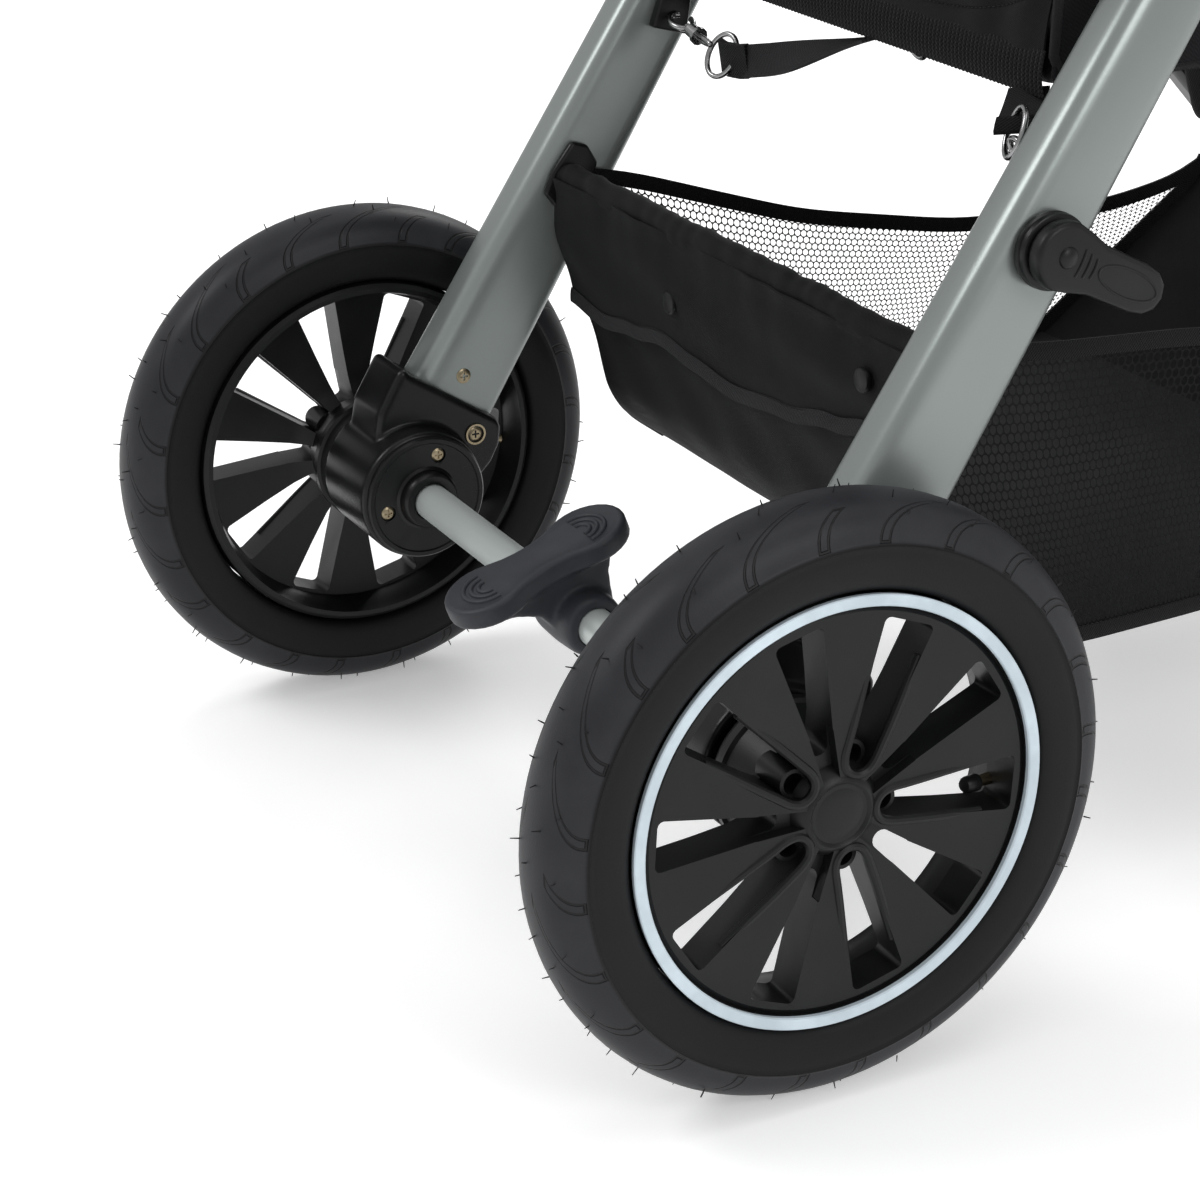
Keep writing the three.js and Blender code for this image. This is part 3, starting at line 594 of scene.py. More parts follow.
def remeshed(piece, voxel, smooth=4):
    modified(piece, "REMESH", mode="VOXEL", voxel_size=voxel / 1000)
    if smooth:
        modified(piece, "SMOOTH", factor=0.5, iterations=smooth)
    return piece


def finished(piece, material, slot, body, *nodes, angle=35):
    settle()
    pick_only(piece)
    ops.object.transform_apply(location=True, rotation=True, scale=True)
    piece.data.materials.clear()
    piece.data.materials.append(material)
    ops.object.shade_smooth_by_angle(angle=math.radians(angle))
    if body:
        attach(piece, body)
    if nodes:
        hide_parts(*nodes)
    return piece


def from_frame(name, node, width, segments=2, angle=25):
    """The machined shape of a frame node with its doubles merged and its edges rounded."""
    settle()
    source = bpy.data.objects[frame_object(node)]
    twin = source.copy()
    twin.data = source.data.copy()
    for key in list(twin.keys()):
        del twin[key]
    bpy.context.collection.objects.link(twin)
    twin.name = name
    twin.hide_render = False
    editing(twin)
    ops.mesh.remove_doubles(threshold=0.00003)
    ops.mesh.dissolve_limited(angle_limit=math.radians(1.0))
    settle()
    if width:
        rounded(twin, width, segments, angle)
    return twin


def frame_object(node):
    found = frame["nodes"][node]
    return found if isinstance(found, str) else found.name


def screw(centre, axis, radius, depth=1.4):
    """A cross-recess screw head, its face towards axis."""
    head = spun("screw_head", [[0, 0], [-depth, 0], [-depth, radius], [-0.5, radius], [0.2, radius * 0.72]],
                (0, 0, 0), 20, "Z")
    slots = []
    for turn in (0, 1):
        r = radius * 0.55
        w = radius * 0.13
        a = (r, w) if turn == 0 else (w, r)
        slots.append(raised("cross", [at(-a[0], -a[1], -0.7), at(a[0], -a[1], -0.7), at(a[0], a[1], -0.7),
                                      at(-a[0], a[1], -0.7)], Vector((0, 0, 0.002))))
    for s in slots:
        cut(head, s)
    origin = at(0, 0, 0)
    turn = Vector((0, 0, 1)).rotation_difference(Vector(axis)).to_matrix().to_4x4()
    head.data.transform(Matrix.Translation(at(*centre)) @ turn @ Matrix.Translation(-origin))
    return head


def wrap_round(piece, centre, half_width, outer, inner):
    """Tread coordinates: u once round the wheel, v from the inboard bead over the tread to the outboard one."""
    mesh = piece.data
    layer = mesh.uv_layers.new(name="tread")
    layer.active_render = True
    mesh.uv_layers.active = layer
    c = at(*centre)
    span = (outer - inner) / 1000
    for face in mesh.polygons:
        turns = []
        for k in face.loop_indices:
            p = mesh.vertices[mesh.loops[k].vertex_index].co - c
            u = math.atan2(p.z, p.y) / math.tau + 0.5
            drop = (outer / 1000 - math.hypot(p.y, p.z)) / span
            x = p.x / (half_width / 1000)
            v = 0.5 + math.copysign(min(abs(x), 1.0) * 0.25 + max(drop, 0) * 0.25, x)
            turns.append([u, v])
        if max(t[0] for t in turns) - min(t[0] for t in turns) > 0.5:
            for t in turns:
                if t[0] < 0.5:
                    t[0] += 1
        for k, t in zip(face.loop_indices, turns):
            layer.data[k].uv = t


def mirrored_pair(make, *args, **kw):
    right = make(*args, **kw)
    left = copied(right, MIRROR)
    return (("right", right), ("left", left))


# ---------------------------------------------------------------- rear wheels
TYRE_X = (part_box("rear_tyre_right")[0].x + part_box("rear_tyre_right")[1].x) * 500
TYRE_R = (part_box("rear_tyre_right")[1].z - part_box("rear_tyre_right")[0].z) * 500
TYRE_W = (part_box("rear_tyre_right")[1].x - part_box("rear_tyre_right")[0].x) * 500
HUB = (TYRE_X, 0, AXLE_Z)


def tyre_profile(radius, half, section):
    """Round-shouldered air tyre: tread, step to the sidewall, moulded rings, bead."""
    r0 = radius - section
    right = [(half * 0.55, r0), (half * 0.80, r0 + 0.6), (half * 0.885, r0 + 2.5),
             (half * 0.93, r0 + section * 0.10), (half * 0.965, r0 + section * 0.17),
             (half * 0.985, r0 + section * 0.25), (half * 1.0, r0 + section * 0.36),
             (half * 0.995, r0 + section * 0.47), (half * 0.972, r0 + section * 0.53),
             (half * 0.999, r0 + section * 0.545), (half * 0.965, r0 + section * 0.562),
             (half * 0.94, r0 + section * 0.578), (half * 0.925, r0 + section * 0.60),
             (half * 0.89, r0 + section * 0.68), (half * 0.82, r0 + section * 0.765),
             (half * 0.73, r0 + section * 0.84), (half * 0.61, r0 + section * 0.905),
             (half * 0.46, r0 + section * 0.955), (half * 0.28, r0 + section * 0.985),
             (half * 0.1, r0 + section * 1.0)]
    return [[x, r] for x, r in right] + [[-x, r] for x, r in reversed(right)]


def rear_tyre():
    tyre = spun("rear_tyre", tyre_profile(TYRE_R, TYRE_W, 41.6), HUB, 128)
    wrap_round(tyre, HUB, TYRE_W, TYRE_R, TYRE_R - 42)
    return tyre


for side, piece in mirrored_pair(rear_tyre):
    finished(piece, TYRE, "tyre_rubber", "rear_wheel_" + side, "rear_tyre_" + side, angle=60)


def vent_hairs(radius, centre, rows, count, length=4.2):
    """Thin rubber hairs left by the mould's vents, with a few missing."""
    hairs = []
    for row, (x, drop) in enumerate(rows):
        for i in range(count):
            if random.random() < 0.22:
                continue
            angle = (i + 0.37 * row + random.uniform(-0.12, 0.12)) / count * math.tau
            reach = length * random.uniform(0.55, 1.15)
            ops.object.select_all(action="DESELECT")
            ops.mesh.primitive_cone_add(vertices=4, radius1=0.00042, radius2=0.00026, depth=reach / 1000,
                                        end_fill_type="NGON", location=(0, 0, 0))
            hair = bpy.context.object
            lean = Matrix.Rotation(random.uniform(-0.35, 0.35), 4, "X") @ Matrix.Rotation(
                random.uniform(-0.2, 0.35) * (1 if x > 0 else -1), 4, "Y")
            up = Matrix.Translation((x / 1000, 0, (radius - drop + reach / 2 - 0.4) / 1000))
            hair.data.transform(Matrix.Translation(at(*centre)) @ Matrix.Rotation(angle, 4, "X") @ up @ lean)
            hairs.append(hair)
    return joined("tyre_vent_hairs", hairs)


def rear_hairs():
    return vent_hairs(TYRE_R, HUB, [(0, 0), (9, 0.7), (-9, 0.7), (17.5, 5.2), (-17.5, 5.2)], 24)


for side, piece in mirrored_pair(rear_hairs):
    finished(piece, SMOOTH_RUBBER, "tyre_rubber", "rear_wheel_" + side)


def petal_slot(name, angle, wide, deep0, deep1, inner, outer, half_in, half_out):
    """A tapering slot cutter between inner and outer radius; its hub end is round."""
    pts = []
    for i in range(9):
        a = math.pi / 2 + i / 8 * math.pi
        pts.append((inner + half_in + half_in * math.cos(a), half_in * math.sin(a)))
    r = wide
    for sx in (-1, 1):
        for i in range(4):
            a = i / 3 * math.pi / 2
            c = (outer - r, -half_out + r) if sx < 0 else (outer - r, half_out - r)
            if sx < 0:
                pts.append((c[0] + r * math.sin(a), c[1] - r * math.cos(a)))
            else:
                pts.append((c[0] + r * math.cos(a), c[1] + r * math.sin(a)))
    ca, sa = math.cos(angle), math.sin(angle)
    outline = [at(TYRE_X + deep0, u * ca - v * sa, AXLE_Z + u * sa + v * ca) for u, v in pts]
    return raised(name, outline, Vector(((deep1 - deep0) / 1000, 0, 0)))


def rear_rim():
    """Ten flat petals with deep walls between, a channelled rim, and the hub barrel behind them."""
    face = 19.6
    web = spun("rear_rim", [
        [face, 12], [face, 99.2], [face - 1.4, 101.0], [face - 1.6, 101.9], [face - 0.2, 102.0],
        [face - 0.2, 107.2], [14, 107.6], [-14, 107.6], [-20.5, 106.8], [-22.5, 104.4], [-22.5, 101.5],
        [-17, 100.4], [-12, 98.6], [-2.0, 97.6], [-1.0, 94], [-1.6, 66], [-3.0, 46], [-6.0, 36],
        [-10, 31], [-38.6, 30], [-38.6, 9], [0, 9], [0, 12]], HUB, 120)
    shapes = []
    for k in range(5):
        a = math.radians(69 + 72 * k)
        shapes.append((a, 20.5, 95.5, 7.2, 13.8))
        b = math.radians(33 + 72 * k)
        shapes.append((b, 30.0, 95.5, 5.0, 12.6))
        cut(web, petal_slot("valley", b, 0.6, face - 6, 40, 14.6, 44, 4.4, 6.4))
    for k, (a, r0, r1, w0, w1) in enumerate(shapes):
        cut(web, petal_slot("slot", a, 3.0, -60, 40, r0, r1, w0, w1))
    rounded(web, 1.1, 2, 40)
    return web


def rim_trims():
    """Raised lips round every second slot, the deep round sockets and the collar at the hub."""
    parts = []
    face = 19.6
    for k in range(5):
        a = math.radians(69 + 72 * k)
        ca, sa = math.cos(a), math.sin(a)
        path = []
        for u, v in ((80, 13.4), (62, 11.9), (46, 10.5), (34, 9.3), (27.7, 8.9), (21.4, 6.3), (18.8, 0), (21.4, -6.3),
                     (27.7, -8.9), (34, -9.3), (46, -10.5), (62, -11.9), (80, -13.4)):
            lift = 1.0 if u < 44 else 1.0 - (u - 44) * 0.06
            path.append(at(TYRE_X + face + lift - 1.9, u * ca - v * sa, AXLE_Z + u * sa + v * ca))
        parts.append(drawn("slot_lip", path, 2.4, sides=12, steps=4))
        # round socket at the hub end of the slot
        u = 27.0
        socket = spun("slot_socket", [[3.0, 5.2], [12.5, 5.2], [12.5, 7.2], [-8, 8.2], [-8, 0.01], [3.0, 0.01]],
                      (TYRE_X, u * ca, AXLE_Z + u * sa), 24)
        parts.append(socket)
    collar = spun("hub_collar", [[face - 4, 12], [face + 0.2, 14.9], [face + 1.2, 16.4], [face + 0.6, 18.0],
                                 [face - 3, 21.5], [face - 8, 24.0], [face - 8, 12]], HUB, 60)
    parts.append(collar)
    return joined("rim_lips", parts)


def inner_hub():
    """The inboard hub: stepped barrel with a sealing ring."""
    parts = [spun("hub_barrel", [[-39.3, 9], [-39.3, 30], [-38.0, 34.5], [-35, 36.4], [-32, 37.0], [-31, 38.8],
                                 [-26.5, 38.8], [-25.5, 36.6], [-19, 35.2], [-11, 33.4], [-4.5, 32.0], [-3.5, 9]], HUB, 72)]
    return joined("inner_hub", parts)


for maker, slot_name, nodes in ((rear_rim, "rim_plastic", ("rear_rim_",)), (rim_trims, "rim_plastic", ()),
                                (inner_hub, "rim_plastic", ())):
    for side, piece in mirrored_pair(maker):
        finished(piece, RIM, slot_name, "rear_wheel_" + side, *[n + side for n in nodes], angle=32)


def trim_ring():
    return spun("trim_ring", [[19.9, 102.3], [19.9, 107.8], [22.6, 108.2], [23.1, 107.7], [23.3, 105.2],
                              [22.9, 102.7], [22.2, 102.1]], HUB, 160)


def hub_cap():
    return spun("hub_cap", [[16.5, 0.01], [20.6, 0.01], [20.45, 7], [19.8, 12.2], [19.0, 14.0], [18.0, 14.5],
                            [16.5, 14.5]], HUB, 48)


for side, piece in mirrored_pair(trim_ring):
    finished(piece, TRIM, "trim_ring", "rear_wheel_" + side, "rear_trim_ring_" + side)
for side, piece in mirrored_pair(hub_cap):
    finished(piece, RIM, "rim_plastic", "rear_wheel_" + side, "rear_hub_cap_" + side)


def valve():
    """Brass stem through the rim's well with a black cap."""
    a = math.radians(-7)
    stem = spun("valve", [[0, 0.01], [0, 3.2], [6, 3.0], [14, 2.6], [14, 0.01]], (0, 0, 0), 16, "Z")
    cap = spun("cap", [[13, 0.01], [13, 3.9], [14, 4.4], [21, 4.1], [22.4, 3.2], [22.8, 0.01]], (0, 0, 0), 12, "Z")
    move = (Matrix.Translation(at(TYRE_X - 1, 100 * math.cos(a), AXLE_Z + 100 * math.sin(a)))
            @ Matrix.Rotation(a + math.pi / 2, 4, "X") @ Matrix.Rotation(math.radians(16), 4, "Y")
            @ Matrix.Translation(-at(0, 0, 0)))
    stem.data.transform(move)
    cap.data.transform(move)
    return stem, cap


stem, cap = valve()
for side, change in (("right", Matrix.Identity(4)), ("left", MIRROR)):
    finished(copied(stem, change, "valve_stem"), BRASSY, "steel", "rear_wheel_" + side)
    finished(copied(cap, change, "valve_cap"), RIM, "rim_plastic", "rear_wheel_" + side)
bpy.data.objects.remove(stem)
bpy.data.objects.remove(cap)

# ---------------------------------------------------------------- rear legs, axle and brackets
LEG_X = 207.0
LEG_DIR = math.radians(58.25)


def on_leg(s, n, x):
    """A point s along the rear leg from the axle and n ahead of its line."""
    return at(x, s * math.cos(LEG_DIR) + n * math.sin(LEG_DIR),
              AXLE_Z + s * math.sin(LEG_DIR) - n * math.cos(LEG_DIR))


def leg_section(s, width, thick):
    """Crowned wide faces, tight round edges."""
    pts = []
    for i in range(48):
        a = i / 48 * math.tau
        c, d = math.cos(a), math.sin(a)
        x = math.copysign(abs(c) ** 0.55, c) * thick / 2
        n = math.copysign(abs(d) ** 0.36, d) * width / 2
        x *= 1 - 0.10 * (abs(n) / (width / 2)) ** 2
        pts.append(on_leg(s, 2.3 + n, LEG_X + x))
    return pts


def rear_leg():
    leg = wire_loop("rear_leg", leg_section(24, 59.4, 32.3))
    editing(leg)
    ops.mesh.edge_face_add()
    ops.mesh.select_all(action="SELECT")
    lift = on_leg(445.3, 0, 0) - on_leg(24, 0, 0)
    ops.mesh.extrude_region_move(TRANSFORM_OT_translate={"value": lift})
    settle()
    top = leg_section(445.3, 41.4, 32.3)
    for vertex in leg.data.vertices:
        if (vertex.co - at(0, 0, AXLE_Z)).dot(lift.normalized()) > 0.3:
            base = min(range(48), key=lambda i: (leg.data.vertices[i].co + lift - vertex.co).length)
            vertex.co = top[base]
    editing(leg)
    ops.mesh.normals_make_consistent(inside=False)
    settle()
    return rounded(leg, 0.8, 2, 50)


for side, piece in mirrored_pair(rear_leg):
    finished(piece, SILVER, "silver_paint", "rear_frame", "rear_leg_" + side, angle=25)

axle = spun("axle_tube", [[-169.7, 8.6], [-169.7, 10.2], [-169.2, 10.5], [169.2, 10.5], [169.7, 10.2],
                          [169.7, 8.6]], (0, 0, AXLE_Z), 64)
# The axle tube gets the lighter copy of the legs' silver paint: painted light.
finished(axle, LIT_SILVER, "silver_paint", "rear_frame", "axle_tube")


def hub_bracket():
    """Barrel round the axle flowing into the leg's socket, with a bolt lug ahead of it."""
    barrel = spun("hub_bracket", [[170.2, 9], [170.2, 37.2], [172, 38.6], [229.8, 38.6], [229.8, 9]],
                  (0, 0, AXLE_Z), 72)
    outline = [on_leg(s, n, LEG_X - 20.3) for s, n in ((59, -36), (60.5, -40), (59, -43), (30, -42), (8, -33),
                                                        (0, -20), (0, 25), (20, 38), (33, 41), (45, 40),
                                                        (55, 35), (58, 30))]
    block = raised("socket", outline, Vector((0.0406, 0, 0)))
    rounded(block, 3.0, 3, 50)
    barrel = joined("hub_bracket", [barrel, block])
    remeshed(barrel, 1.25, 10)
    pocket = wire_loop("pocket", leg_section(22, 60.4, 33.2))
    editing(pocket)
    ops.mesh.edge_face_add()
    ops.mesh.extrude_region_move(TRANSFORM_OT_translate={"value": on_leg(120, 0, 0) - on_leg(22, 0, 0)})
    ops.mesh.select_all(action="SELECT")
    ops.mesh.normals_make_consistent(inside=False)
    settle()
    cut(barrel, pocket)
    bore = spun("bore", [[150, 0.01], [150, 12], [250, 12], [250, 0.01]], (0, 0, AXLE_Z), 48)
    cut(barrel, bore)
    return barrel


for side, piece in mirrored_pair(hub_bracket):
    finished(piece, BRACKET, "black_plastic", "rear_frame", "hub_bracket_" + side)


def bracket_cover():
    cover = spun("bracket_cover", [[169.7, 11.2], [169.7, 36.8], [167.2, 36.8], [166.0, 35.8], [165.8, 33.5],
                                   [166.6, 32.8], [166.6, 19.2], [165.4, 17.6], [160.5, 16.8], [158.6, 15.4],
                                   [158.2, 13.2], [158.6, 11.2]], (0, 0, AXLE_Z), 72)
    bores = []
    for y, z in ((8, 25), (-24.5, -6), (17.5, -19.5)):
        bore = spun("bore", [[163, 0.01], [163, 4.6], [168.3, 4.6], [168.3, 0.01]], (0, y, AXLE_Z + z), 24)
        bores.append(bore)
    for bore in bores:
        cut(cover, bore)
    return rounded(cover, 0.4, 1, 40)


for side, piece in mirrored_pair(bracket_cover):
    finished(piece, BRACKET, "black_plastic", "rear_frame", "bracket_cover_" + side)


def bracket_screws():
    parts = [screw((167.0, y, AXLE_Z + z), (-1, 0, 0), 4.1) for y, z in ((8, 25), (-24.5, -6), (17.5, -19.5))]
    parts.append(screw((162.6, 5.5, AXLE_Z + 14.5), (-0.35, 0.35, 0.87), 2.6))
    parts.append(screw((190.3, 36, 212), (-1, 0, 0), 4.6))
    parts.append(screw((186.2, 41.0, 176.5), (-1, 0, 0), 4.3))
    parts.append(spun("washer", [[184.6, 5.2], [184.6, 6.4], [187, 6.4], [187, 5.2]], (0.9, 41.0, 176.5), 24))
    return joined("bracket_screws", parts)


for side, piece in mirrored_pair(bracket_screws):
    finished(piece, BRASSY, "steel", "rear_frame")

# ---------------------------------------------------------------- brake pedal
PX = pivot("pedal_rock")[0]
TILT = math.radians(21.6)
PLATE = (PX + 1, -26, AXLE_Z + 37)


def on_plate(u, x, w):
    """u along the rocker plate (front up), x across it, w above its top."""
    return at(PLATE[0] + x, PLATE[1] + u * math.cos(TILT) - w * math.sin(TILT),
              PLATE[2] + u * math.sin(TILT) + w * math.cos(TILT))


def rocker_outline(grow, w, pad=31, radius=22.8):
    pts = []
    for sign in (1, -1):
        for i in range(19):
            a = math.radians(-118 + 236 * i / 18)
            pts.append(on_plate(sign * (pad + (radius + grow) * math.cos(a)),
                                sign * (radius + grow) * math.sin(a), w))
        for u, v in ((12, 16.9), (5, 15.6), (0, 15.3), (-5, 15.6), (-12, 16.9)):
            pts.append(on_plate(sign * u, sign * (v + grow), w))
    return pts


def pedal_plate():
    plate = raised("brake_pedal_plate", rocker_outline(0, -11.5), on_plate(0, 0, 0) - on_plate(0, 0, -11.5))
    rounded(plate, 2.6, 4, 50)
    up = (on_plate(0, 0, 1) - on_plate(0, 0, 0)).normalized()
    editing(plate)
    ops.mesh.select_all(action="DESELECT")
    settle()
    top = max(plate.data.polygons, key=lambda f: f.area * (1 if f.normal.dot(up) > 0.9 else 0))
    top.select = True
    editing_keep(plate)
    ops.mesh.inset(thickness=0.0006, depth=0)
    ops.mesh.inset(thickness=0.0012, depth=-0.0007)
    settle()
    return plate


def editing_keep(thing):
    pick_only(thing)
    ops.object.mode_set(mode="EDIT")
    ops.mesh.select_mode(type="FACE")


def pedal_marks():
    """Three plain raised arcs on each pad, in a shallow dish."""
    parts = []
    for sign in (1, -1):
        for radius in (13.5, 9.3, 5.2):
            pts = []
            for i in range(15):
                a = math.radians(-92 + 184 * i / 14)
                pts.append(on_plate(sign * (29 + radius * math.cos(a)), radius * math.sin(a) * 1.05, -0.75))
            parts.append(drawn("arc", pts, 1.25, sides=12, steps=3))
    return joined("pedal_arcs", parts)


def pedal_body():
    barrel = spun("brake_pedal_body", [[-22.5, 8], [-22.5, 15], [-21, 16.8], [-16, 17.6], [0, 18.2], [16, 17.6],
                                       [21, 16.8], [22.5, 15], [22.5, 8]], (PX, 0, AXLE_Z), 64)
    side = [(-62, 12), (-54, 17), (14, 43.5), (17, 38), (15, 24), (17.5, 8), (12, -8), (-8, -12), (-18, -2),
            (-25, 5), (-38, 7.5), (-52, 7)]
    web = raised("web", [at(PX - 8.5, y, AXLE_Z + z) for y, z in side], Vector((0.017, 0, 0)))
    flare = raised("flare", rocker_outline(-7.0, -15.5, 26), on_plate(0, 0, -4) - on_plate(0, 0, -15.5))
    body = joined("brake_pedal_body", [barrel, web, flare])
    remeshed(body, 1.3, 14)
    bore = spun("bore", [[-40, 0.01], [-40, 11.1], [40, 11.1], [40, 0.01]], (PX, 0, AXLE_Z), 48)
    return cut(body, bore)


finished(pedal_plate(), PEDAL, "pedal_plastic", "pedal", "brake_pedal", angle=50)
finished(pedal_marks(), PEDAL, "pedal_plastic", "pedal")
finished(pedal_body(), PEDAL, "pedal_plastic", "pedal", angle=60)

# ---------------------------------------------------------------- release lever
LY, LZ = pivot("lever_turn")[1:]
BOSS_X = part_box("lever_boss")[0].x * 1000
LEVER_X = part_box("lever")[0].x * 1000


def lever_boss():
    return spun("lever_boss", [[BOSS_X, 0.01], [BOSS_X, 17.0], [BOSS_X + 0.8, 18.6], [BOSS_X + 3.2, 19.0],
                               [BOSS_X + 3.8, 18.0], [BOSS_X + 5.2, 18.0], [BOSS_X + 5.8, 18.9], [BOSS_X + 7.6, 18.6],
                               [BOSS_X + 8, 17.8], [BOSS_X + 8, 0.01]], (0, LY, LZ), 48)


def lever_point(u, v, x):
    a = math.radians(-26)
    return at(x, LY + u * math.cos(a) - v * math.sin(a), LZ + u * math.sin(a) + v * math.cos(a))


def lever_paddle():
    outline = []
    for i in range(13):
        a = math.radians(90 + 180 * i / 12)
        outline.append(lever_point(17 * math.cos(a), 17 * math.sin(a), LEVER_X))
    for u, v in ((10, -15.2), (20, -12.6), (34, -12.4), (48, -12.2), (56, -10.6), (61.5, -6.5), (63.5, 0),
                 (61.5, 6.5), (56, 10.6), (48, 12.2), (34, 12.4), (20, 12.6), (10, 15.2)):
        outline.append(lever_point(u, v, LEVER_X))
    paddle = raised("release_lever", outline, Vector((0.0098, 0, 0)))
    rounded(paddle, 3.0, 4, 45)
    ring = []
    for i in range(24):
        a = i / 24 * math.tau
        ring.append(lever_point(39 + 19 * math.cos(a), 6.8 * math.sin(a), LEVER_X + 9.6))
    line = drawn("oval", ring, 0.7, closed=True, sides=8, steps=2)
    parts = [paddle, line]
    for k in range(3):
        u = 8 + k * 4.2
        parts.append(drawn("ridge", [lever_point(u, -7 + k, LEVER_X + 9.5), lever_point(u + 1.3, 0, LEVER_X + 9.9),
                                     lever_point(u, 7 - k, LEVER_X + 9.5)], 0.9, sides=8, steps=4))
    parts.append(spun("pin", [[LEVER_X + 8, 0.01], [LEVER_X + 11.4, 0.01], [LEVER_X + 11, 4.4], [LEVER_X + 9.8, 5.4],
                              [LEVER_X + 8, 5.4]], (0, LY, LZ), 24))
    return joined("release_lever", parts)


finished(lever_boss(), BRACKET, "black_plastic", "rear_frame", "lever_boss")
finished(lever_paddle(), RIM, "pedal_plastic", "release_lever", "lever", angle=50)

# ---------------------------------------------------------------- basket
bar_lo, bar_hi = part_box("basket_bar")
BAR_Y = ((bar_lo.y + bar_hi.y) / 2 - AXLE_Y) * 1000
BAR_Z = (bar_lo.z + bar_hi.z) * 500
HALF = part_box("basket")[1].x * 1000
fb_lo, fb_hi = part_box("front_bar")
FRONT_Y = ((fb_lo.y + fb_hi.y) / 2 - AXLE_Y) * 1000
FRONT_Z = (fb_lo.z + fb_hi.z) * 500


def along(points, t):
    """A point at t (0 to 1) along a polyline of tuples, by length."""
    lengths = [0.0]
    for a, b in zip(points, points[1:]):
        lengths.append(lengths[-1] + math.dist(a, b))
    goal = t * lengths[-1]
    for i, (a, b) in enumerate(zip(points, points[1:])):
        if goal <= lengths[i + 1] or i == len(points) - 2:
            k = (goal - lengths[i]) / max(lengths[i + 1] - lengths[i], 1e-9)
            return tuple(p + (q - p) * k for p, q in zip(a, b))


def smooth_line(points, n=40):
    """The polyline rounded by averaging, its ends kept."""
    pts = [along(points, i / n) for i in range(n + 1)]
    for _ in range(4):
        pts = [pts[0]] + [tuple((a + 2 * b + c) / 4 for a, b, c in zip(pts[i - 1], pts[i], pts[i + 1]))
                          for i in range(1, n)] + [pts[-1]]
    return pts


TOP_LEFT = smooth_line([(BAR_Y + 4, BAR_Z + 3), (139, 323), (194, 305), (264, 283), (382, 262), (491, 261),
                        (556, 272), (FRONT_Y - 10, FRONT_Z - 3)])
TOP_RIGHT = smooth_line([(BAR_Y + 4, BAR_Z + 3), (173, 319), (268, 314), (382, 296), (491, 284),
                         (556, 283), (FRONT_Y - 10, FRONT_Z - 2)])
BOTTOM = smooth_line([(168, 157), (210, 156), (282, 159), (400, 169), (449, 179)])
REAR = smooth_line([(BAR_Y - 1, BAR_Z - 8), (BAR_Y - 1, BAR_Z - 25), (116, 247), (123.5, 228), (131, 195),
                    (143, 175), (168, 157)])
FRONT = smooth_line([(449, 179), (510, 225), (567, 267), (FRONT_Y - 10, FRONT_Z - 4)])


def follows_fold(piece):
    """Bakes the cloth's placement into its mesh."""
    tuple(at(0, FRONT_Y, FRONT_Z))
    tuple(at(0, BAR_Y + 68, BAR_Z))
    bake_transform(piece)


def gathers(s, t, reach=5.5):
    """Uneven pleats that fade away from the bar."""
    wave = (0.45 * math.sin(s * 47 + 2.6 * math.sin(s * 9)) + 0.2 * math.sin(s * 93 + 1.3)
            + 1.1 * math.sin(s * 21 + 1.8 * math.sin(s * 5)))
    return wave * math.exp(-t * reach)


def rear_wrap(s, t):
    """Cloth rolled round the rear bar with puckers."""
    x = -HALF + 1 + 2 * (HALF - 1) * s
    a = math.radians(-70 + 340 * t)
    r = 7.6 + 0.5 * math.sin(s * 58 + 4 * math.sin(s * 11) + 1.4 * a)
    r += 0.22 * math.sin(s * 133 + 3 * math.sin(s * 17) + a)
    r += 0.5 * math.sin(s * math.pi) * (1 - math.cos(a)) * 0.5
    return at(x, BAR_Y - r * math.sin(a), BAR_Z + 0.4 - r * math.cos(a) * 1.0)


def flap_end(x):
    pts = [(-190, 252), (-152, 246), (-110, 252), (-73, 258), (-38, 253), (1, 249), (60, 256), (112, 266),
           (150, 274), (190, 280)]
    for (xa, za), (xb, zb) in zip(pts, pts[1:]):
        if x <= xb:
            k = (x - xa) / (xb - xa)
            k = k * k * (3 - 2 * k)
            return za + (zb - za) * k
    return pts[-1][1]


def rear_flap(s, t, out=0.0):
    """The upper cloth: gathered over the bar, hanging to a wavy hem."""
    x = -HALF + 1 + 2 * (HALF - 1) * s
    low = flap_end(x)
    z = BAR_Z + 1 + (low - BAR_Z - 1) * t
    base = interpolate_rear(z)
    belly = 3.0 * math.sin(math.pi * s) * t
    y = base - 6.2 - belly * 0.4 - 1.3 * gathers(s, t, 3.6) - 1.3 * math.sin(s * 15 + t * 4) * t * (1 - t) * 3
    y -= 1.5 * math.sin((s * 1.7 - t) * 9) * t * (1 - t) * 2.2
    if t < 0.12:
        y -= 1.8 * (1 - t / 0.12)
    return at(x, y - out, z)


def interpolate_rear(z):
    for (ya, za), (yb, zb) in zip(REAR, REAR[1:]):
        if z >= zb and z <= za:
            k = (za - z) / max(za - zb, 1e-9)
            return ya + (yb - ya) * k
    return REAR[0][0] if z > REAR[0][1] else REAR[-1][0]


def rear_lower(s, t):
    """The lower cloth, from behind the flap to the basket floor."""
    x = -HALF + 1.5 + 2 * (HALF - 1.5) * s
    k = 0.12 + 0.88 * t
    y, z = along(REAR, k)
    edge = math.sin(math.pi * s)
    crease = 1.0 * math.sin(s * 19 + k * 9) * math.sin(math.pi * k) + 0.7 * math.sin(s * 37 - k * 14) * k * (1 - k) * 3
    return at(x, y - 1.4 - crease * 0.8 - 1.2 * edge * math.sin(math.pi * k), z + 1.0 * edge * k)


def floor_cloth(s, t):
    x = -HALF + 1.5 + 2 * (HALF - 1.5) * s
    y, z = along(BOTTOM, t)
    sag = 3.4 * math.sin(math.pi * s) * math.sin(math.pi * t)
    return at(x, y, z + 1.2 - sag + 0.7 * math.sin(s * 21 + t * 12) * math.sin(math.pi * t))


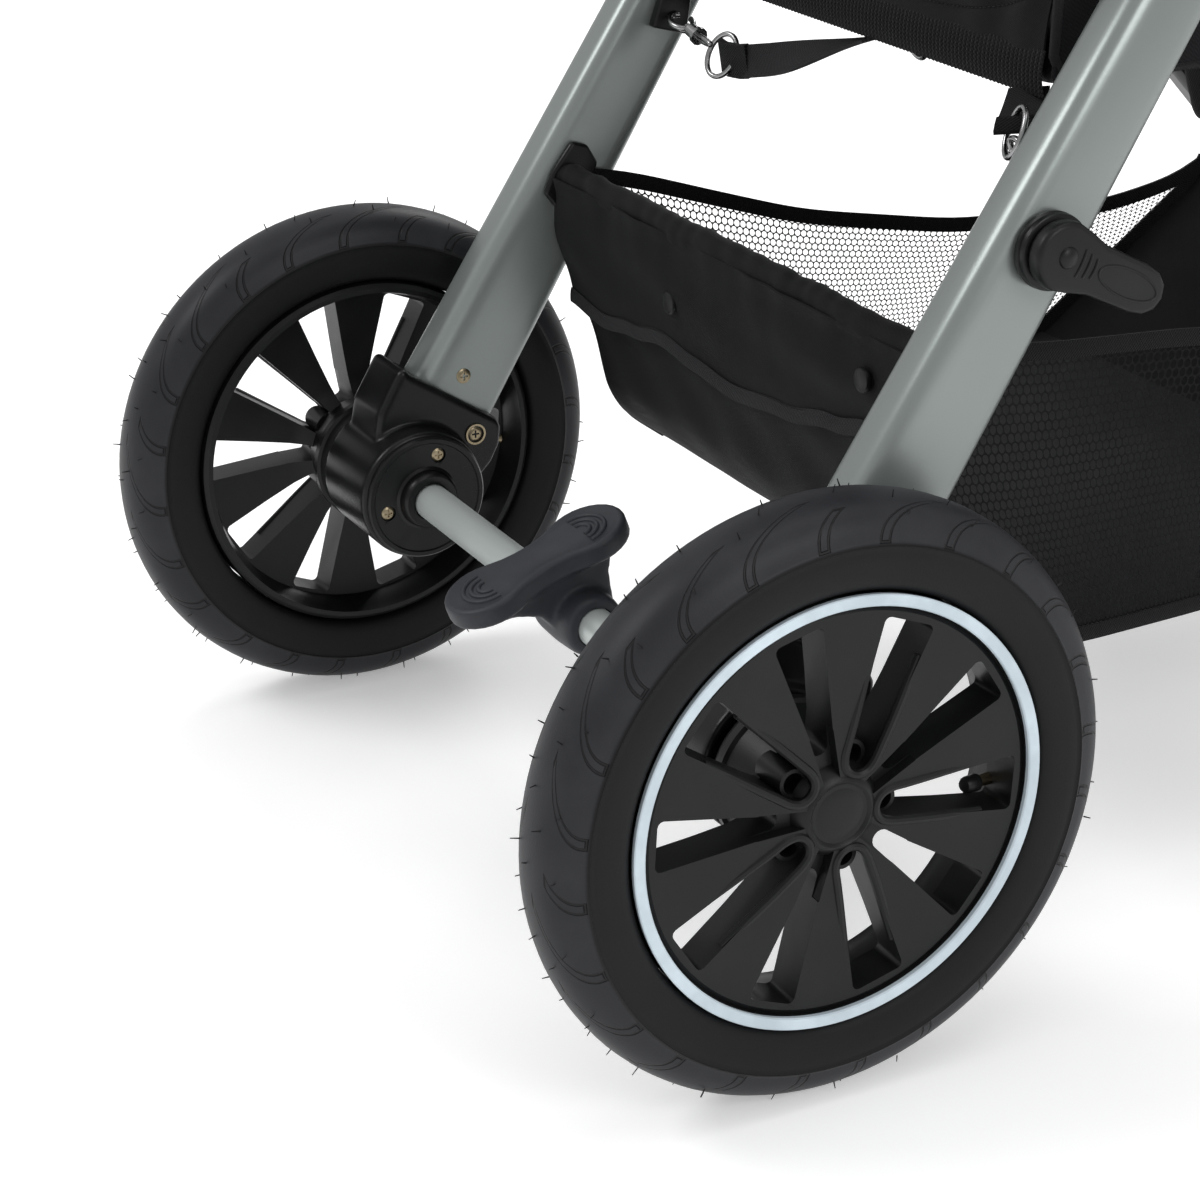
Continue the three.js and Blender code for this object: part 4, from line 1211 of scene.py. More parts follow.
def front_cloth(s, t):
    x = -HALF + 1.5 + 2 * (HALF - 1.5) * s
    y, z = along(FRONT, t)
    edge = math.sin(math.pi * s) * math.sin(math.pi * t)
    return at(x, y + 2.0 * edge + 0.8 * math.sin(s * 17 + t * 8) * edge, z - 3.0 * edge)


def side_net(sign, top):
    def place(s, t):
        k = s
        ty, tz = along(top, k)
        by, bz = along(BOTTOM, k)
        y = ty + (by - ty) * t
        z = tz + (bz - tz) * t
        y -= 12 * math.sin(math.pi * t) * (1 - s) ** 3
        y += 9 * math.sin(math.pi * t) * s ** 3
        dip = 3.0 * math.sin(math.pi * t) * math.sin(math.pi * s)
        return at(sign * (HALF - 1.0 - dip), y, z)
    return place


def basket_piece(name, across, down, place, size, material, thick=1.2, nodes=()):
    piece = cloth_sheet(name, across, down, place, size, thick)
    finished(piece, material, "basket_cloth", None, *nodes, angle=80)
    if material is not NET:
        as_sheet(piece, "gathered" if name in ("basket_bar_wrap", "basket_flap") else "stretched",
                 ["basket_bar"] if name in ("basket_bar_wrap", "basket_flap") else ["basket_bar", "front_bar"])
    follows_fold(piece)
    return piece


def tape(name, points, width, material, face=(1, 0, 0), thick=2.0):
    """A binding strip sewn over an edge; points are metre vectors, face its broad side's normal."""
    face = Vector(face)

    def place(s, t):
        i = min(int(s * (len(points) - 1)), len(points) - 2)
        k = s * (len(points) - 1) - i
        p = points[i].lerp(points[i + 1], k)
        run = (points[min(i + 1, len(points) - 1)] - points[max(i - 1, 0)]).normalized()
        side = face.cross(run).normalized()
        bow = 1 - (2 * t - 1) ** 2
        return p + side * (t - 0.5) * width / 1000 + face * bow * 0.0004

    length = sum((b - a).length for a, b in zip(points, points[1:]))
    return cloth_sheet(name, max(8, len(points) * 2), 4, place, (length, width / 1000), thick)


def basket_tape(name, points, width, face=(1, 0, 0), material=BINDING):
    piece = tape(name, points, width, material, face, 2.2)
    finished(piece, material, "basket_cloth", None, angle=80)
    follows_fold(piece)
    return piece


basket_piece("basket_bar_wrap", 150, 22, rear_wrap, (0.38, 0.05), BAG_CLOTH, nodes=("basket",))
basket_piece("basket_flap", 150, 36, rear_flap, (0.38, 0.08), BAG_CLOTH)
basket_piece("basket_rear", 90, 50, rear_lower, (0.38, 0.2), BAG_CLOTH)
basket_piece("basket_floor", 60, 40, floor_cloth, (0.38, 0.29), BAG_CLOTH)
basket_piece("basket_front", 60, 30, front_cloth, (0.38, 0.18), BAG_CLOTH)
for side, sign in SIDES:
    top = TOP_RIGHT if sign > 0 else TOP_LEFT
    net = basket_piece("basket_net_" + side, 64, 30, side_net(sign, top), (0.48, 0.13), NET, 0.0)
    x = sign * (HALF - 0.6)
    edges = [basket_tape("net_top_binding_" + side, [at(x, y, z - 2.5) for y, z in top], 9),
             basket_tape("net_floor_binding_" + side, [at(x, y, z + 3.5) for y, z in BOTTOM], 8),
             basket_tape("net_rear_binding_" + side, [at(x, y + 3, z) for y, z in REAR[4:]], 8),
             basket_tape("net_front_binding_" + side, [at(x, y - 2.5, z + 2.5) for y, z in FRONT[:-1]], 9)]
    as_sheet(net, "stretched", ["basket_bar", "front_bar"])
hem = [rear_flap(i / 60, 0.985, 1.4) for i in range(61)]
basket_tape("flap_hem", hem, 8.5, (0, -1, 0), HEM)
seam = [rear_flap(i / 60, 0.86, 0.9) for i in range(61)]


def press_stud(x, z):
    y = interpolate_rear(z) - 9.2
    return spun("press_stud", [[0, 0.01], [-2.6, 0.01], [-2.4, 4.0], [-1.6, 6.0], [-0.4, 6.6], [1.2, 6.4],
                               [1.2, 0.01]], (x, y, z), 28, "Y")


def stitches(name, points, gap_mm=3.2, radius=0.38):
    """Short thread bars along a seam."""
    bars = []
    total = sum((b - a).length for a, b in zip(points, points[1:])) * 1000
    count = int(total / gap_mm)
    flat = [tuple(p) for p in points]
    for i in range(count):
        a = Vector(along(flat, (i + 0.15) / count))
        b = Vector(along(flat, (i + 0.75) / count))
        ops.object.select_all(action="DESELECT")
        ops.mesh.primitive_cylinder_add(vertices=5, radius=radius / 1000, depth=(b - a).length)
        bar = bpy.context.object
        turn = Vector((0, 0, 1)).rotation_difference(b - a).to_matrix().to_4x4()
        bar.data.transform(Matrix.Translation((a + b) / 2) @ turn)
        bars.append(bar)
    return joined(name, bars)


thread = stitches("flap_thread", [rear_flap(i / 60, 0.93, 1.2) for i in range(61)])
finished(thread, BINDING, "basket_cloth", None)
follows_fold(thread)
for x, z in ((-50, 287), (152, 303)):
    stud = press_stud(x, z)
    finished(stud, RIM, "black_plastic", None)
    follows_fold(stud)


def bar_end(sign):
    """Moulded foot that screws the rear bar to the leg's inner face."""
    edge = LEG_X - 16.4
    outline = [on_leg(222, -13, edge), on_leg(225, -3, edge), on_leg(219, 9, edge), on_leg(204, 12, edge),
               on_leg(190, 9, edge), on_leg(184, -3, edge), on_leg(188, -13, edge), on_leg(202, -15, edge)]
    foot = raised("bar_foot", outline, Vector((-0.0045, 0, 0)))
    rounded(foot, 2.0, 3, 40)
    return foot


for side, piece in mirrored_pair(lambda: bar_end(1)):
    finished(piece, BRACKET, "black_plastic", "rear_frame")
finished(from_frame("basket_bar", "basket_bar", 0), FRAME_BLACK, "frame_paint", "rear_frame", "basket_bar")

# ---------------------------------------------------------------- cloth and padding tools
def stuffed(piece, voxel=5.0, pressure=4.0, cap=6.0, shrink=3.0):
    """Padding: the shape drawn in a little, remeshed, then swollen with the Cloth simulation."""
    editing(piece)
    ops.transform.shrink_fatten(value=-shrink / 1000)
    settle()
    remeshed(piece, voxel, 6)
    before = [v.co.copy() for v in piece.data.vertices]
    pick_only(piece)
    cloth = piece.modifiers.new("Cloth", "CLOTH")
    cloth.settings.quality = 4
    cloth.settings.use_pressure = True
    cloth.settings.uniform_pressure_force = pressure
    cloth.settings.effector_weights.gravity = 0
    cloth.settings.tension_stiffness = 25
    cloth.settings.compression_stiffness = 25
    for tick in range(1, 21):
        bpy.context.scene.frame_set(tick)
    ops.object.modifier_apply(modifier=cloth.name)
    bpy.context.scene.frame_set(1)
    for vertex, start in zip(piece.data.vertices, before):
        move = vertex.co - start
        if move.length > cap / 1000:
            vertex.co = start + move * (cap / 1000 / move.length)
    modified(piece, "SMOOTH", factor=0.5, iterations=3)
    modified(piece, "SUBSURF", levels=1, render_levels=1)
    return piece


def pressed(piece, depth_at):
    """Sews channels into a pad: depth_at(point) gives how far each point sinks, in millimetres."""
    settle()
    normals = [v.normal.copy() for v in piece.data.vertices]
    for vertex, normal in zip(piece.data.vertices, normals):
        depth = depth_at(vertex.co)
        if depth:
            vertex.co -= normal * depth / 1000
    return piece


def groove(distance, width, depth):
    """A smooth valley: distance from its middle and width in millimetres."""
    return depth * math.exp(-(distance / width) ** 2)


# ---------------------------------------------------------------- front wheels and casters
FRONT_X = (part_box("front_tyre_right")[0].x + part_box("front_tyre_right")[1].x) * 500
FRONT_R = (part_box("front_tyre_right")[1].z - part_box("front_tyre_right")[0].z) * 500
FRONT_W = (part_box("front_tyre_right")[1].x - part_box("front_tyre_right")[0].x) * 500
WHEEL_Y = ((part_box("front_axle_right")[0].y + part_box("front_axle_right")[1].y) / 2 - AXLE_Y) * 1000
FRONT_HUB = (FRONT_X, WHEEL_Y, FRONT_R)


def front_tyre():
    tyre = spun("front_tyre", tyre_profile(FRONT_R, FRONT_W, 31.8), FRONT_HUB, 112)
    wrap_round(tyre, FRONT_HUB, FRONT_W, FRONT_R, FRONT_R - 32)
    return tyre


def front_rim():
    rim = spun("front_rim", [[-19.7, 5.6], [-19.7, 12], [-15, 14], [-11, 19], [-9, 24], [-9, 56], [-12, 60],
                             [-18.5, 62.5], [-19.6, 64], [-19.6, 70.6], [-18, 71.4], [18, 71.4], [19.6, 70.6],
                             [19.6, 64], [18.5, 62.5], [12, 60], [9, 56], [9, 24], [11, 19], [15, 14],
                             [19.7, 12], [19.7, 5.6]], FRONT_HUB, 96)
    for k in range(10):
        a = math.radians(18 + 36 * k)
        w0, w1 = (3.4, 9.0) if k % 2 else (4.6, 10.2)
        slot = petal_slot("slot", a, 2.2, -60, 60, 19 if k % 2 else 17, 56, w0, w1)
        slot.data.transform(Matrix.Translation(at(*FRONT_HUB) - at(TYRE_X, 0, AXLE_Z)))
        cut(rim, slot)
    return rounded(rim, 0.9, 2, 40)


def front_ring():
    return spun("front_trim_ring", [[18.0, 64.6], [18.0, 70.2], [20.2, 70.0], [20.7, 69.0], [20.7, 66.0],
                                    [20.2, 64.9]], FRONT_HUB, 128)


for side, piece in mirrored_pair(front_tyre):
    finished(piece, SMALL_TYRE, "tyre_rubber", "front_wheel_" + side, "front_tyre_" + side, angle=60)
for side, piece in mirrored_pair(lambda: vent_hairs(FRONT_R, FRONT_HUB, [(0, 0), (8, 0.6), (-8, 0.6)], 20, 3.6)):
    finished(piece, SMOOTH_RUBBER, "tyre_rubber", "front_wheel_" + side)
for side, piece in mirrored_pair(front_rim):
    finished(piece, RIM, "rim_plastic", "front_wheel_" + side, "front_rim_" + side, angle=32)
for side, piece in mirrored_pair(front_ring):
    finished(piece, TRIM, "trim_ring", "front_wheel_" + side)


def axle_caps():
    """Domed caps over the axle's nuts, outside the fork arms."""
    caps = []
    for sign in (1, -1):
        caps.append(spun("axle_cap", [[sign * 32.2, 0.01], [sign * 38.6, 0.01], [sign * 38.2, 6.5],
                                      [sign * 36.6, 9.4], [sign * 33.6, 10.6], [sign * 32.2, 10.6]],
                         FRONT_HUB, 40))
    return joined("axle_caps", caps)


def caster_collar():
    x, y, _ = pivot("swivel_right")
    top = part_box("caster_housing_right")[1].z * 1000
    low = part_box("caster_housing_right")[0].z * 1000
    return spun("caster_cap", [[top - 4, 0.01], [top + 2.4, 0.01], [top + 2.2, 14], [top + 0.6, 19.5],
                               [top - 2.2, 22.3], [top - 4, 22.3]], (x, y, 0), 56, "Z"), \
        spun("caster_seal", [[low + 2, 18], [low + 2, 22.9], [low + 5, 23.1], [low + 6, 22.4], [low + 6, 18]],
             (x, y, 0), 56, "Z")


for side, piece in mirrored_pair(axle_caps):
    finished(piece, RIM, "rim_plastic", "caster_" + side)
for part in caster_collar():
    for side, change in (("right", Matrix.Identity(4)), ("left", MIRROR)):
        finished(copied(part, change), BRACKET, "black_plastic", "frame")
    bpy.data.objects.remove(part)

# ---------------------------------------------------------------- hard parts of the frame
HARD = (("fork", "caster_", BRACKET, "black_plastic", 2.2, 3), ("front_axle", "caster_", STEEL, "steel", 0.4, 2),
        ("caster_housing", "frame", BRACKET, "black_plastic", 0.8, 2),
        ("frame_hub", "frame", BRACKET, "black_plastic", 1.4, 3),
        ("rear_hub", "rear_frame", BRACKET, "black_plastic", 1.4, 3),
        ("front_leg", "frame", FRAME_BLACK, "frame_paint", 0.5, 2),
        ("bar_plate", "frame", FRAME_BLACK, "frame_paint", 0.9, 2),
        ("seat_mount", "frame", BRACKET, "black_plastic", 1.2, 3),
        ("strap_lug", "rear_frame", BRACKET, "black_plastic", 1.2, 3),
        ("wheel_axle", "rear_frame", STEEL, "steel", 0.5, 2))
for node, body, material, slot_name, width, segments in HARD:
    for side, _ in SIDES:
        piece = from_frame(node + "_" + side, node + "_" + side, width, segments, 30)
        finished(piece, material, slot_name, body + side if body.endswith("_") else body, node + "_" + side, angle=32)
finished(from_frame("front_bar", "front_bar", 0), FRAME_BLACK, "frame_paint", "frame", "front_bar")


def fold_cap():
    """Dished cover over the fold joint with a thumb wheel's ribs."""
    _, y, z = pivot("frame_fold")
    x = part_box("rear_hub_right")[1].x * 1000
    disc = spun("fold_cover", [[x - 1, 0.01], [x + 2.2, 0.01], [x + 2.0, 12], [x + 3.0, 13.2], [x + 3.6, 20],
                               [x + 3.0, 24], [x + 0.6, 26.5], [x - 1, 26.5]], (0, y, z), 72)
    ribs = [disc]
    for i in range(24):
        a = i / 24 * math.tau
        ribs.append(drawn("rib", [at(x + 2.9, y + 15 * math.cos(a), z + 15 * math.sin(a)),
                                  at(x + 3.7, y + 18 * math.cos(a), z + 18 * math.sin(a)),
                                  at(x + 3.0, y + 22.5 * math.cos(a), z + 22.5 * math.sin(a))], 0.7, sides=4, steps=2))
    return joined("fold_cover", ribs)


def handle_cap():
    _, y, z = pivot("handle_fold")
    x = 226.0
    disc = spun("handle_button", [[x - 1, 0.01], [x + 1.2, 0.01], [x + 1.2, 13], [x + 2.8, 14], [x + 3.0, 20],
                                  [x + 1.8, 22.6], [x - 1, 23]], (0, y, z), 64)
    button = spun("button", [[x - 1, 0.01], [x + 3.2, 0.01], [x + 2.9, 7], [x + 1.9, 11.6], [x - 1, 12]],
                  (0, y, z), 48)
    return joined("handle_button", [disc, button])


for side, piece in mirrored_pair(fold_cap):
    finished(piece, BRACKET, "black_plastic", "rear_frame")
for side, piece in mirrored_pair(handle_cap):
    finished(piece, PEDAL, "pedal_plastic", "handle")


def plate_bolts():
    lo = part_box("bar_plate_right")[0]
    return joined("plate_bolts", [screw((lo.x * 1000, FRONT_Y + dy, FRONT_Z + dz), (-1, 0, 0), 4.2)
                                  for dy, dz in ((0, 22), (-2, 46))])


for side, piece in mirrored_pair(plate_bolts):
    finished(piece, BRASSY, "steel", "frame")

# ---------------------------------------------------------------- handle
HY, HZ = pivot("handle_fold")[1:]
UP = math.radians(134)
g_lo, g_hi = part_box("handle_grip")
GRIP_Y = ((g_lo.y + g_hi.y) / 2 - AXLE_Y) * 1000
GRIP_Z = (g_lo.z + g_hi.z) * 500
GRIP_L = g_hi.x * 1000
REACH = math.hypot(GRIP_Y - HY, GRIP_Z - HZ)


def up_handle(x, s):
    return at(x, HY + s * math.cos(UP), HZ + s * math.sin(UP))


def handle_tube():
    """The bent tube: two arms, round corners and the cross piece under the grip."""
    rc = 62
    path = []
    half = []
    for s in (84, 160, 240, 320, 380, REACH - rc):
        half.append((207.0, s))
    for i in range(1, 9):
        a = i / 8 * math.pi / 2
        half.append((207.0 - rc + rc * math.cos(a), REACH - rc + rc * math.sin(a)))
    half.append((110, REACH))
    path = [up_handle(x, s) for x, s in half] + [up_handle(-x, s) for x, s in reversed(half)]
    return drawn("handle_tube", path, 14.0, sides=28, steps=4)


plain_handle = from_frame("handle_ends", "handle", 0)
editing(plain_handle)
ops.mesh.bisect(plane_co=up_handle(0, 86.2), plane_no=up_handle(0, 1) - up_handle(0, 0), clear_outer=True,
                use_fill=True)
settle()
rounded(plain_handle, 1.0, 2, 30)
finished(plain_handle, BRACKET, "black_plastic", "handle")
finished(handle_tube(), FRAME_BLACK, "frame_paint", "handle", "handle")


def grip():
    """Stitched sleeve with end collars, swelling a little in the middle."""
    steps = 24
    outer = []
    for i in range(steps + 1):
        u = -1 + 2 * i / steps
        outer.append([u * (GRIP_L - 7), 16.9 + 0.9 * math.cos(u * math.pi / 2) ** 0.5])
    profile = [[-GRIP_L, 14.6], [-GRIP_L, 16.8], [-GRIP_L + 1, 17.6], [-GRIP_L + 6, 17.6], [-GRIP_L + 7, 16.4]]
    profile += outer[1:-1]
    profile += [[GRIP_L - 7, 16.4], [GRIP_L - 6, 17.6], [GRIP_L - 1, 17.6], [GRIP_L, 16.8], [GRIP_L, 14.6]]
    return spun("handle_grip", profile, (0, GRIP_Y, GRIP_Z), 56)


finished(grip(), FOAM, "grip_foam", "handle", "handle_grip", angle=40)
seam_path = [up_handle(0, REACH) + Vector((x / 1000, 0, 0)) - (at(0, 17.9 * math.sin(UP), -17.9 * math.cos(UP))
             - at(0, 0, 0)) * 0.99 for x in range(-int(GRIP_L) + 10, int(GRIP_L) - 8, 6)]
finished(stitches("grip_thread", seam_path, 4.0, 0.5), WEBBING, "grip_foam", "handle")

# ---------------------------------------------------------------- bumper bar
BY, BZ = pivot("bumper_swing")[1:]


def bumper():
    w, rc, tip = 152, 60, BY + 190
    half = [(w, BY + 9), (w, BY + 40), (w, BY + 65), (w, BY + 100), (w, tip - rc)]
    for i in range(1, 9):
        a = i / 8 * math.pi / 2
        half.append((w - rc + rc * math.cos(a), tip - rc + rc * math.sin(a)))
    half += [(60, tip + 3), (30, tip + 6), (0, tip + 7)]
    points = [at(x, y, BZ) for x, y in half] + [at(-x, y, BZ) for x, y in reversed(half[:-1])]
    return drawn("bumper_sleeve", points, 10.4, sides=24, steps=4)


def bumper_end():
    end = spun("bumper_end", [[146, 0.01], [146, 12.6], [147.5, 14], [163, 14], [165.3, 12.5], [165.3, 0.01]],
               (0, BY, BZ), 48)
    socket = drawn("socket", [at(152, BY, BZ), at(152, BY + 12, BZ), at(152, BY + 26, BZ)], 11.6, sides=24, steps=3)
    return joined("bumper_end", [end, socket])


finished(bumper(), FOAM, "grip_foam", "bumper", "bumper_bar", angle=40)
for side, piece in mirrored_pair(bumper_end):
    finished(piece, BRACKET, "black_plastic", "bumper")

# ---------------------------------------------------------------- seat
s_lo, s_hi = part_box("seat_base")
SEAT_Y0 = (s_lo.y - AXLE_Y) * 1000
SEAT_Y1 = (s_hi.y - AXLE_Y) * 1000
SEAT_Z0 = s_lo.z * 1000
SEAT_Z1 = s_hi.z * 1000
SEAT_W = s_hi.x * 1000

base = stuffed(from_frame("seat_base", "seat_base", 0), 5.0, 3.0, 4.0, 3.0)
finished(base, PAD_CLOTH, "seat_cloth", "frame", "seat_base", angle=60)


def edge_band(s, t):
    """Ribbed band along the seat's lower rear edge."""
    x = -SEAT_W + 2 * SEAT_W * s
    bow = math.sin(math.pi * t)
    y = SEAT_Y0 - 0.6 - 1.6 * bow - 0.45 * math.sin(x * math.tau / 3.4) * (0.4 + 0.6 * bow)
    return at(x, y, SEAT_Z0 + 21 - 22.5 * t + 0.35 * math.sin(x * math.tau / 3.4))


band = cloth_sheet("seat_edge_band", 560, 6, edge_band, (2 * SEAT_W / 1000, 0.022), 1.6)
finished(band, BINDING, "seat_cloth", "frame", angle=80)
as_sheet(band, "stretched", ["seat_base"])


def rear_apron(s, t):
    """Cloth above the band, gathered towards the near side with a curved seam's dip."""
    x = -SEAT_W + 1 + 2 * (SEAT_W - 1) * s
    z = SEAT_Z0 + 19 + 46 * t
    pleat = math.sin(s * 41 + 2 * math.sin(s * 7)) * math.exp(-((s - 0.93) / 0.16) ** 2)
    sag = 2.2 * math.sin(math.pi * s) * math.sin(math.pi * t)
    y = SEAT_Y0 - 1.0 - sag - 1.6 * pleat * (0.3 + t) + 8.0 * t * t - groove((t - 0.18 - 0.55 * (2 * s - 1) ** 4) * 46, 2.2, -1.1)
    return at(x, y, z)


apron = cloth_sheet("seat_apron", 120, 34, rear_apron, (2 * SEAT_W / 1000, 0.048), 1.2)
finished(apron, SEAT_CLOTH, "seat_cloth", "frame", angle=80)
as_sheet(apron, "stretched", ["seat_base"])
apron_seam = []
for i in range(61):
    s = 0.04 + 0.92 * i / 60
    p = rear_apron(s, min(0.95, 0.18 + 0.55 * (2 * s - 1) ** 4))
    apron_seam.append(p + Vector((0, -0.0011, 0)))
finished(stitches("seat_thread", apron_seam, 3.4, 0.3), WEBBING, "seat_cloth", "frame")

cushion = stuffed(from_frame("seat_cushion", "seat_cushion", 0), 5.0, 4.5, 8.0, 4.0)


def cushion_channels(p):
    x, y = p.x * 1000, (p.y - AXLE_Y) * 1000
    if p.z * 1000 < SEAT_Z1 + 10:
        return 0
    depth = 0
    for row in (SEAT_Y0 + 118, SEAT_Y0 + 186):
        depth = max(depth, groove(y - row - 10 * math.cos(x / 60), 6, 4.0))
    return max(depth, groove(abs(x) - 108 - (y - SEAT_Y0) * 0.06, 6, 4.0))


pressed(cushion, cushion_channels)
finished(cushion, PAD_CLOTH, "seat_cloth", "frame", "seat_cushion", angle=60)

RY, RZ = pivot("backrest_recline")[1:]
LEAN = math.radians(101)


def back_place(p):
    """Across, up along the backrest and ahead of it, in millimetres."""
    y, z = (p.y - AXLE_Y) * 1000 - RY, p.z * 1000 - RZ
    return p.x * 1000, y * math.cos(LEAN) + z * math.sin(LEAN), y * math.sin(LEAN) - z * math.cos(LEAN)


back = stuffed(from_frame("backrest", "backrest", 0), 5.5, 3.5, 6.0, 3.0)
finished(back, PAD_CLOTH, "seat_cloth", "backrest", "backrest", angle=60)
pad = stuffed(from_frame("back_pad", "back_pad", 0), 5.0, 4.5, 9.0, 3.0)


def pad_channels(p):
    x, up, ahead = back_place(p)
    if ahead < 18:
        return 0
    depth = 0
    for row in (70, 130, 190, 250, 310):
        depth = max(depth, groove(up - row + 9 * math.cos(x / 46), 6, 4.2))
    return max(depth, groove(abs(x) - 84, 6, 4.2) if up < 330 else 0)


pressed(pad, pad_channels)
finished(pad, PAD_CLOTH, "seat_cloth", "backrest", "back_pad", angle=60)
foot = stuffed(from_frame("footrest", "footrest", 0), 5.0, 3.5, 5.0, 3.0)


def foot_channels(p):
    return groove(abs(p.x * 1000) - 60, 5, 3.0)


pressed(foot, foot_channels)
finished(foot, PAD_CLOTH, "seat_cloth", "footrest", "footrest", angle=60)
for side, _ in SIDES:
    panel = from_frame("seat_side_" + side, "seat_side_" + side, 1.6, 3, 40)
    finished(panel, PAD_CLOTH, "seat_cloth", "frame", "seat_side_" + side, angle=50)
    box_lo, box_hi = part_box("seat_side_" + side)
    width, length = box_hi.y - box_lo.y, box_hi.z - box_lo.z

SIDE_EDGE = [(SEAT_Y0 + 2, SEAT_Z0 + 7), (SEAT_Y1 - 4, SEAT_Z0 + 7), (SEAT_Y1, SEAT_Z1 + 14), (BY + 86, BZ - 82),
             (BY + 30, BZ + 16), (268, 780), (254, 794), (226, 794), (212, 774), (SEAT_Y0 + 18, BZ),
             (SEAT_Y0 + 4, SEAT_Z1 + 50)]


def side_piping():
    line = []
    for a, b in zip(SIDE_EDGE, SIDE_EDGE[1:] + SIDE_EDGE[:1]):
        for i in range(6):
            line.append(at(168, a[0] + (b[0] - a[0]) * (i + 0.5) / 6, a[1] + (b[1] - a[1]) * (i + 0.5) / 6))
    return drawn("side_piping", line, 2.7, closed=True, sides=12, steps=2)


for side, piece in mirrored_pair(side_piping):
    finished(piece, HEM, "seat_cloth", "frame", angle=60)

# ---------------------------------------------------------------- harness


def on_back(x, up, ahead):
    return at(x, RY + up * math.cos(LEAN) + ahead * math.sin(LEAN), RZ + up * math.sin(LEAN) - ahead * math.cos(LEAN))


def ribbon(name, path, width, turns, thick=1.5):
    """Webbing along a path; turns gives its broad side's direction at each point."""
    count = len(path) - 1

    def place(s, t):
        i = min(int(s * count), count - 1)
        k = s * count - i
        p = path[i].lerp(path[i + 1], k)
        side = turns[i].lerp(turns[i + 1], k).normalized()
        return p + side * (t - 0.5) * width / 1000

    length = sum((b - a).length for a, b in zip(path, path[1:]))
    return cloth_sheet(name, max(12, count * 6), 5, place, (length, width / 1000), thick)


def smoothed(points, rounds=3):
    """Corner-cut polyline of metre vectors."""
    for _ in range(rounds):
        fresh = [points[0]]
        for a, b in zip(points, points[1:]):
            fresh += [a.lerp(b, 0.25), a.lerp(b, 0.75)]
        points = fresh + [points[-1]]
    return points


BUCKLE = at(0, SEAT_Y0 + 128, SEAT_Z1 + 42)


def shoulder_strap(sign):
    path = smoothed([on_back(sign * 44, 318, 26), on_back(sign * 44, 300, 31), on_back(sign * 42, 200, 34),
                     on_back(sign * 36, 120, 36), on_back(sign * 30, 66, 44),
                     BUCKLE + Vector((sign * 0.020, -0.022, 0.010)), BUCKLE + Vector((sign * 0.016, -0.006, 0.003))])
    return ribbon("shoulder_strap", path, 22, [Vector((1, 0, 0))] * len(path), 1.7)


def shoulder_pad(sign):
    path = smoothed([on_back(sign * 43.6, 292, 35), on_back(sign * 42.6, 220, 37), on_back(sign * 39.5, 150, 38.5)])
    sleeve = ribbon("shoulder_pad", path, 42, [Vector((1, 0, 0))] * len(path), 7)
    return rounded(sleeve, 2.8, 3, 40)


for sign in (1, -1):
    strap = shoulder_strap(sign)
    finished(strap, WEBBING, "seat_cloth", None, angle=80)
    tuple(on_back(sign * 36, 125, 36))
    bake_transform(strap)
    sleeve = shoulder_pad(sign)
    finished(sleeve, PAD_CLOTH, "seat_cloth", "backrest", angle=60)
    waist = smoothed([BUCKLE + Vector((sign * 0.018, 0.0, 0.0)), at(sign * 60, SEAT_Y0 + 122, SEAT_Z1 + 35),
                      at(sign * 110, SEAT_Y0 + 92, SEAT_Z1 + 34), at(sign * 150, SEAT_Y0 + 62, SEAT_Z1 + 30),
                      at(sign * 163, SEAT_Y0 + 52, SEAT_Z1 + 20)])
    finished(ribbon("waist_strap", waist, 20, [Vector((0, 0.75, 0.65))] * len(waist), 1.7), WEBBING, "seat_cloth",
             "frame", angle=80)
crotch = smoothed([BUCKLE + Vector((0, 0.01, 0)), BUCKLE + Vector((0, 0.03, -0.004)),
                   at(0, SEAT_Y0 + 172, SEAT_Z1 + 22)])
finished(ribbon("crotch_strap", crotch, 24, [Vector((1, 0, 0))] * len(crotch), 1.8), WEBBING, "seat_cloth",
         "frame", angle=80)


def buckle():
    outline = []
    for x, y in ((-17, -19), (17, -19), (23, -13), (22, 8), (15, 19), (-15, 19), (-22, 8), (-23, -13)):
        outline.append(BUCKLE + Vector((x / 1000, y / 1000 * 0.96, y / 1000 * -0.2 - 0.005)))
    shell = raised("harness_buckle", outline, Vector((0, 0.0022, 0.0115)))
    rounded(shell, 3.0, 4, 40)
    button = spun("buckle_button", [[4, 0.01], [8.6, 0.01], [8.2, 5], [7.0, 8.4], [4, 8.8]],
                  (0, 0, 0), 40, "Z")
    lift = Matrix.Translation(BUCKLE) @ Matrix.Rotation(math.radians(-11), 4, "X") @ Matrix.Translation(-at(0, 0, 0))
    button.data.transform(lift)
    return joined("harness_buckle", [shell, button])


finished(buckle(), PEDAL, "pedal_plastic", "frame", angle=40)

# ---------------------------------------------------------------- canopy
CY, CZ = pivot("canopy_fold")[1:]
CANOPY_R = 246.0
CANOPY_W = 187.0


def hood_point(angle, k, radius, half, inset):
    """k runs over the hood from one pivot to the other."""
    phi = math.pi * k
    c, d = math.cos(phi), math.sin(phi)
    x = math.copysign(abs(c) ** 0.42, c) * half
    r = 14 + (radius - 14) * d ** 0.62
    r -= inset * d
    return at(x, CY + r * math.cos(angle), CZ + r * math.sin(angle))


def hood_panel(name, step, a0, a1):
    radius, half = CANOPY_R - 0.8 - 5 * step, CANOPY_W - 0.8 - 5 * step

    def place(s, t):
        angle = math.radians(a0 + (a1 - a0) * t)
        sag = 3.2 * math.sin(math.pi * t) + 0.35 * math.sin(t * 9 + s * 50) * math.sin(math.pi * t)
        k = 0.0004 + 0.9992 * s
        return hood_point(angle, k, radius, half, sag)

    return cloth_sheet(name, 110, 26, place, (0.86, math.radians(a1 - a0) * 0.246), 0)


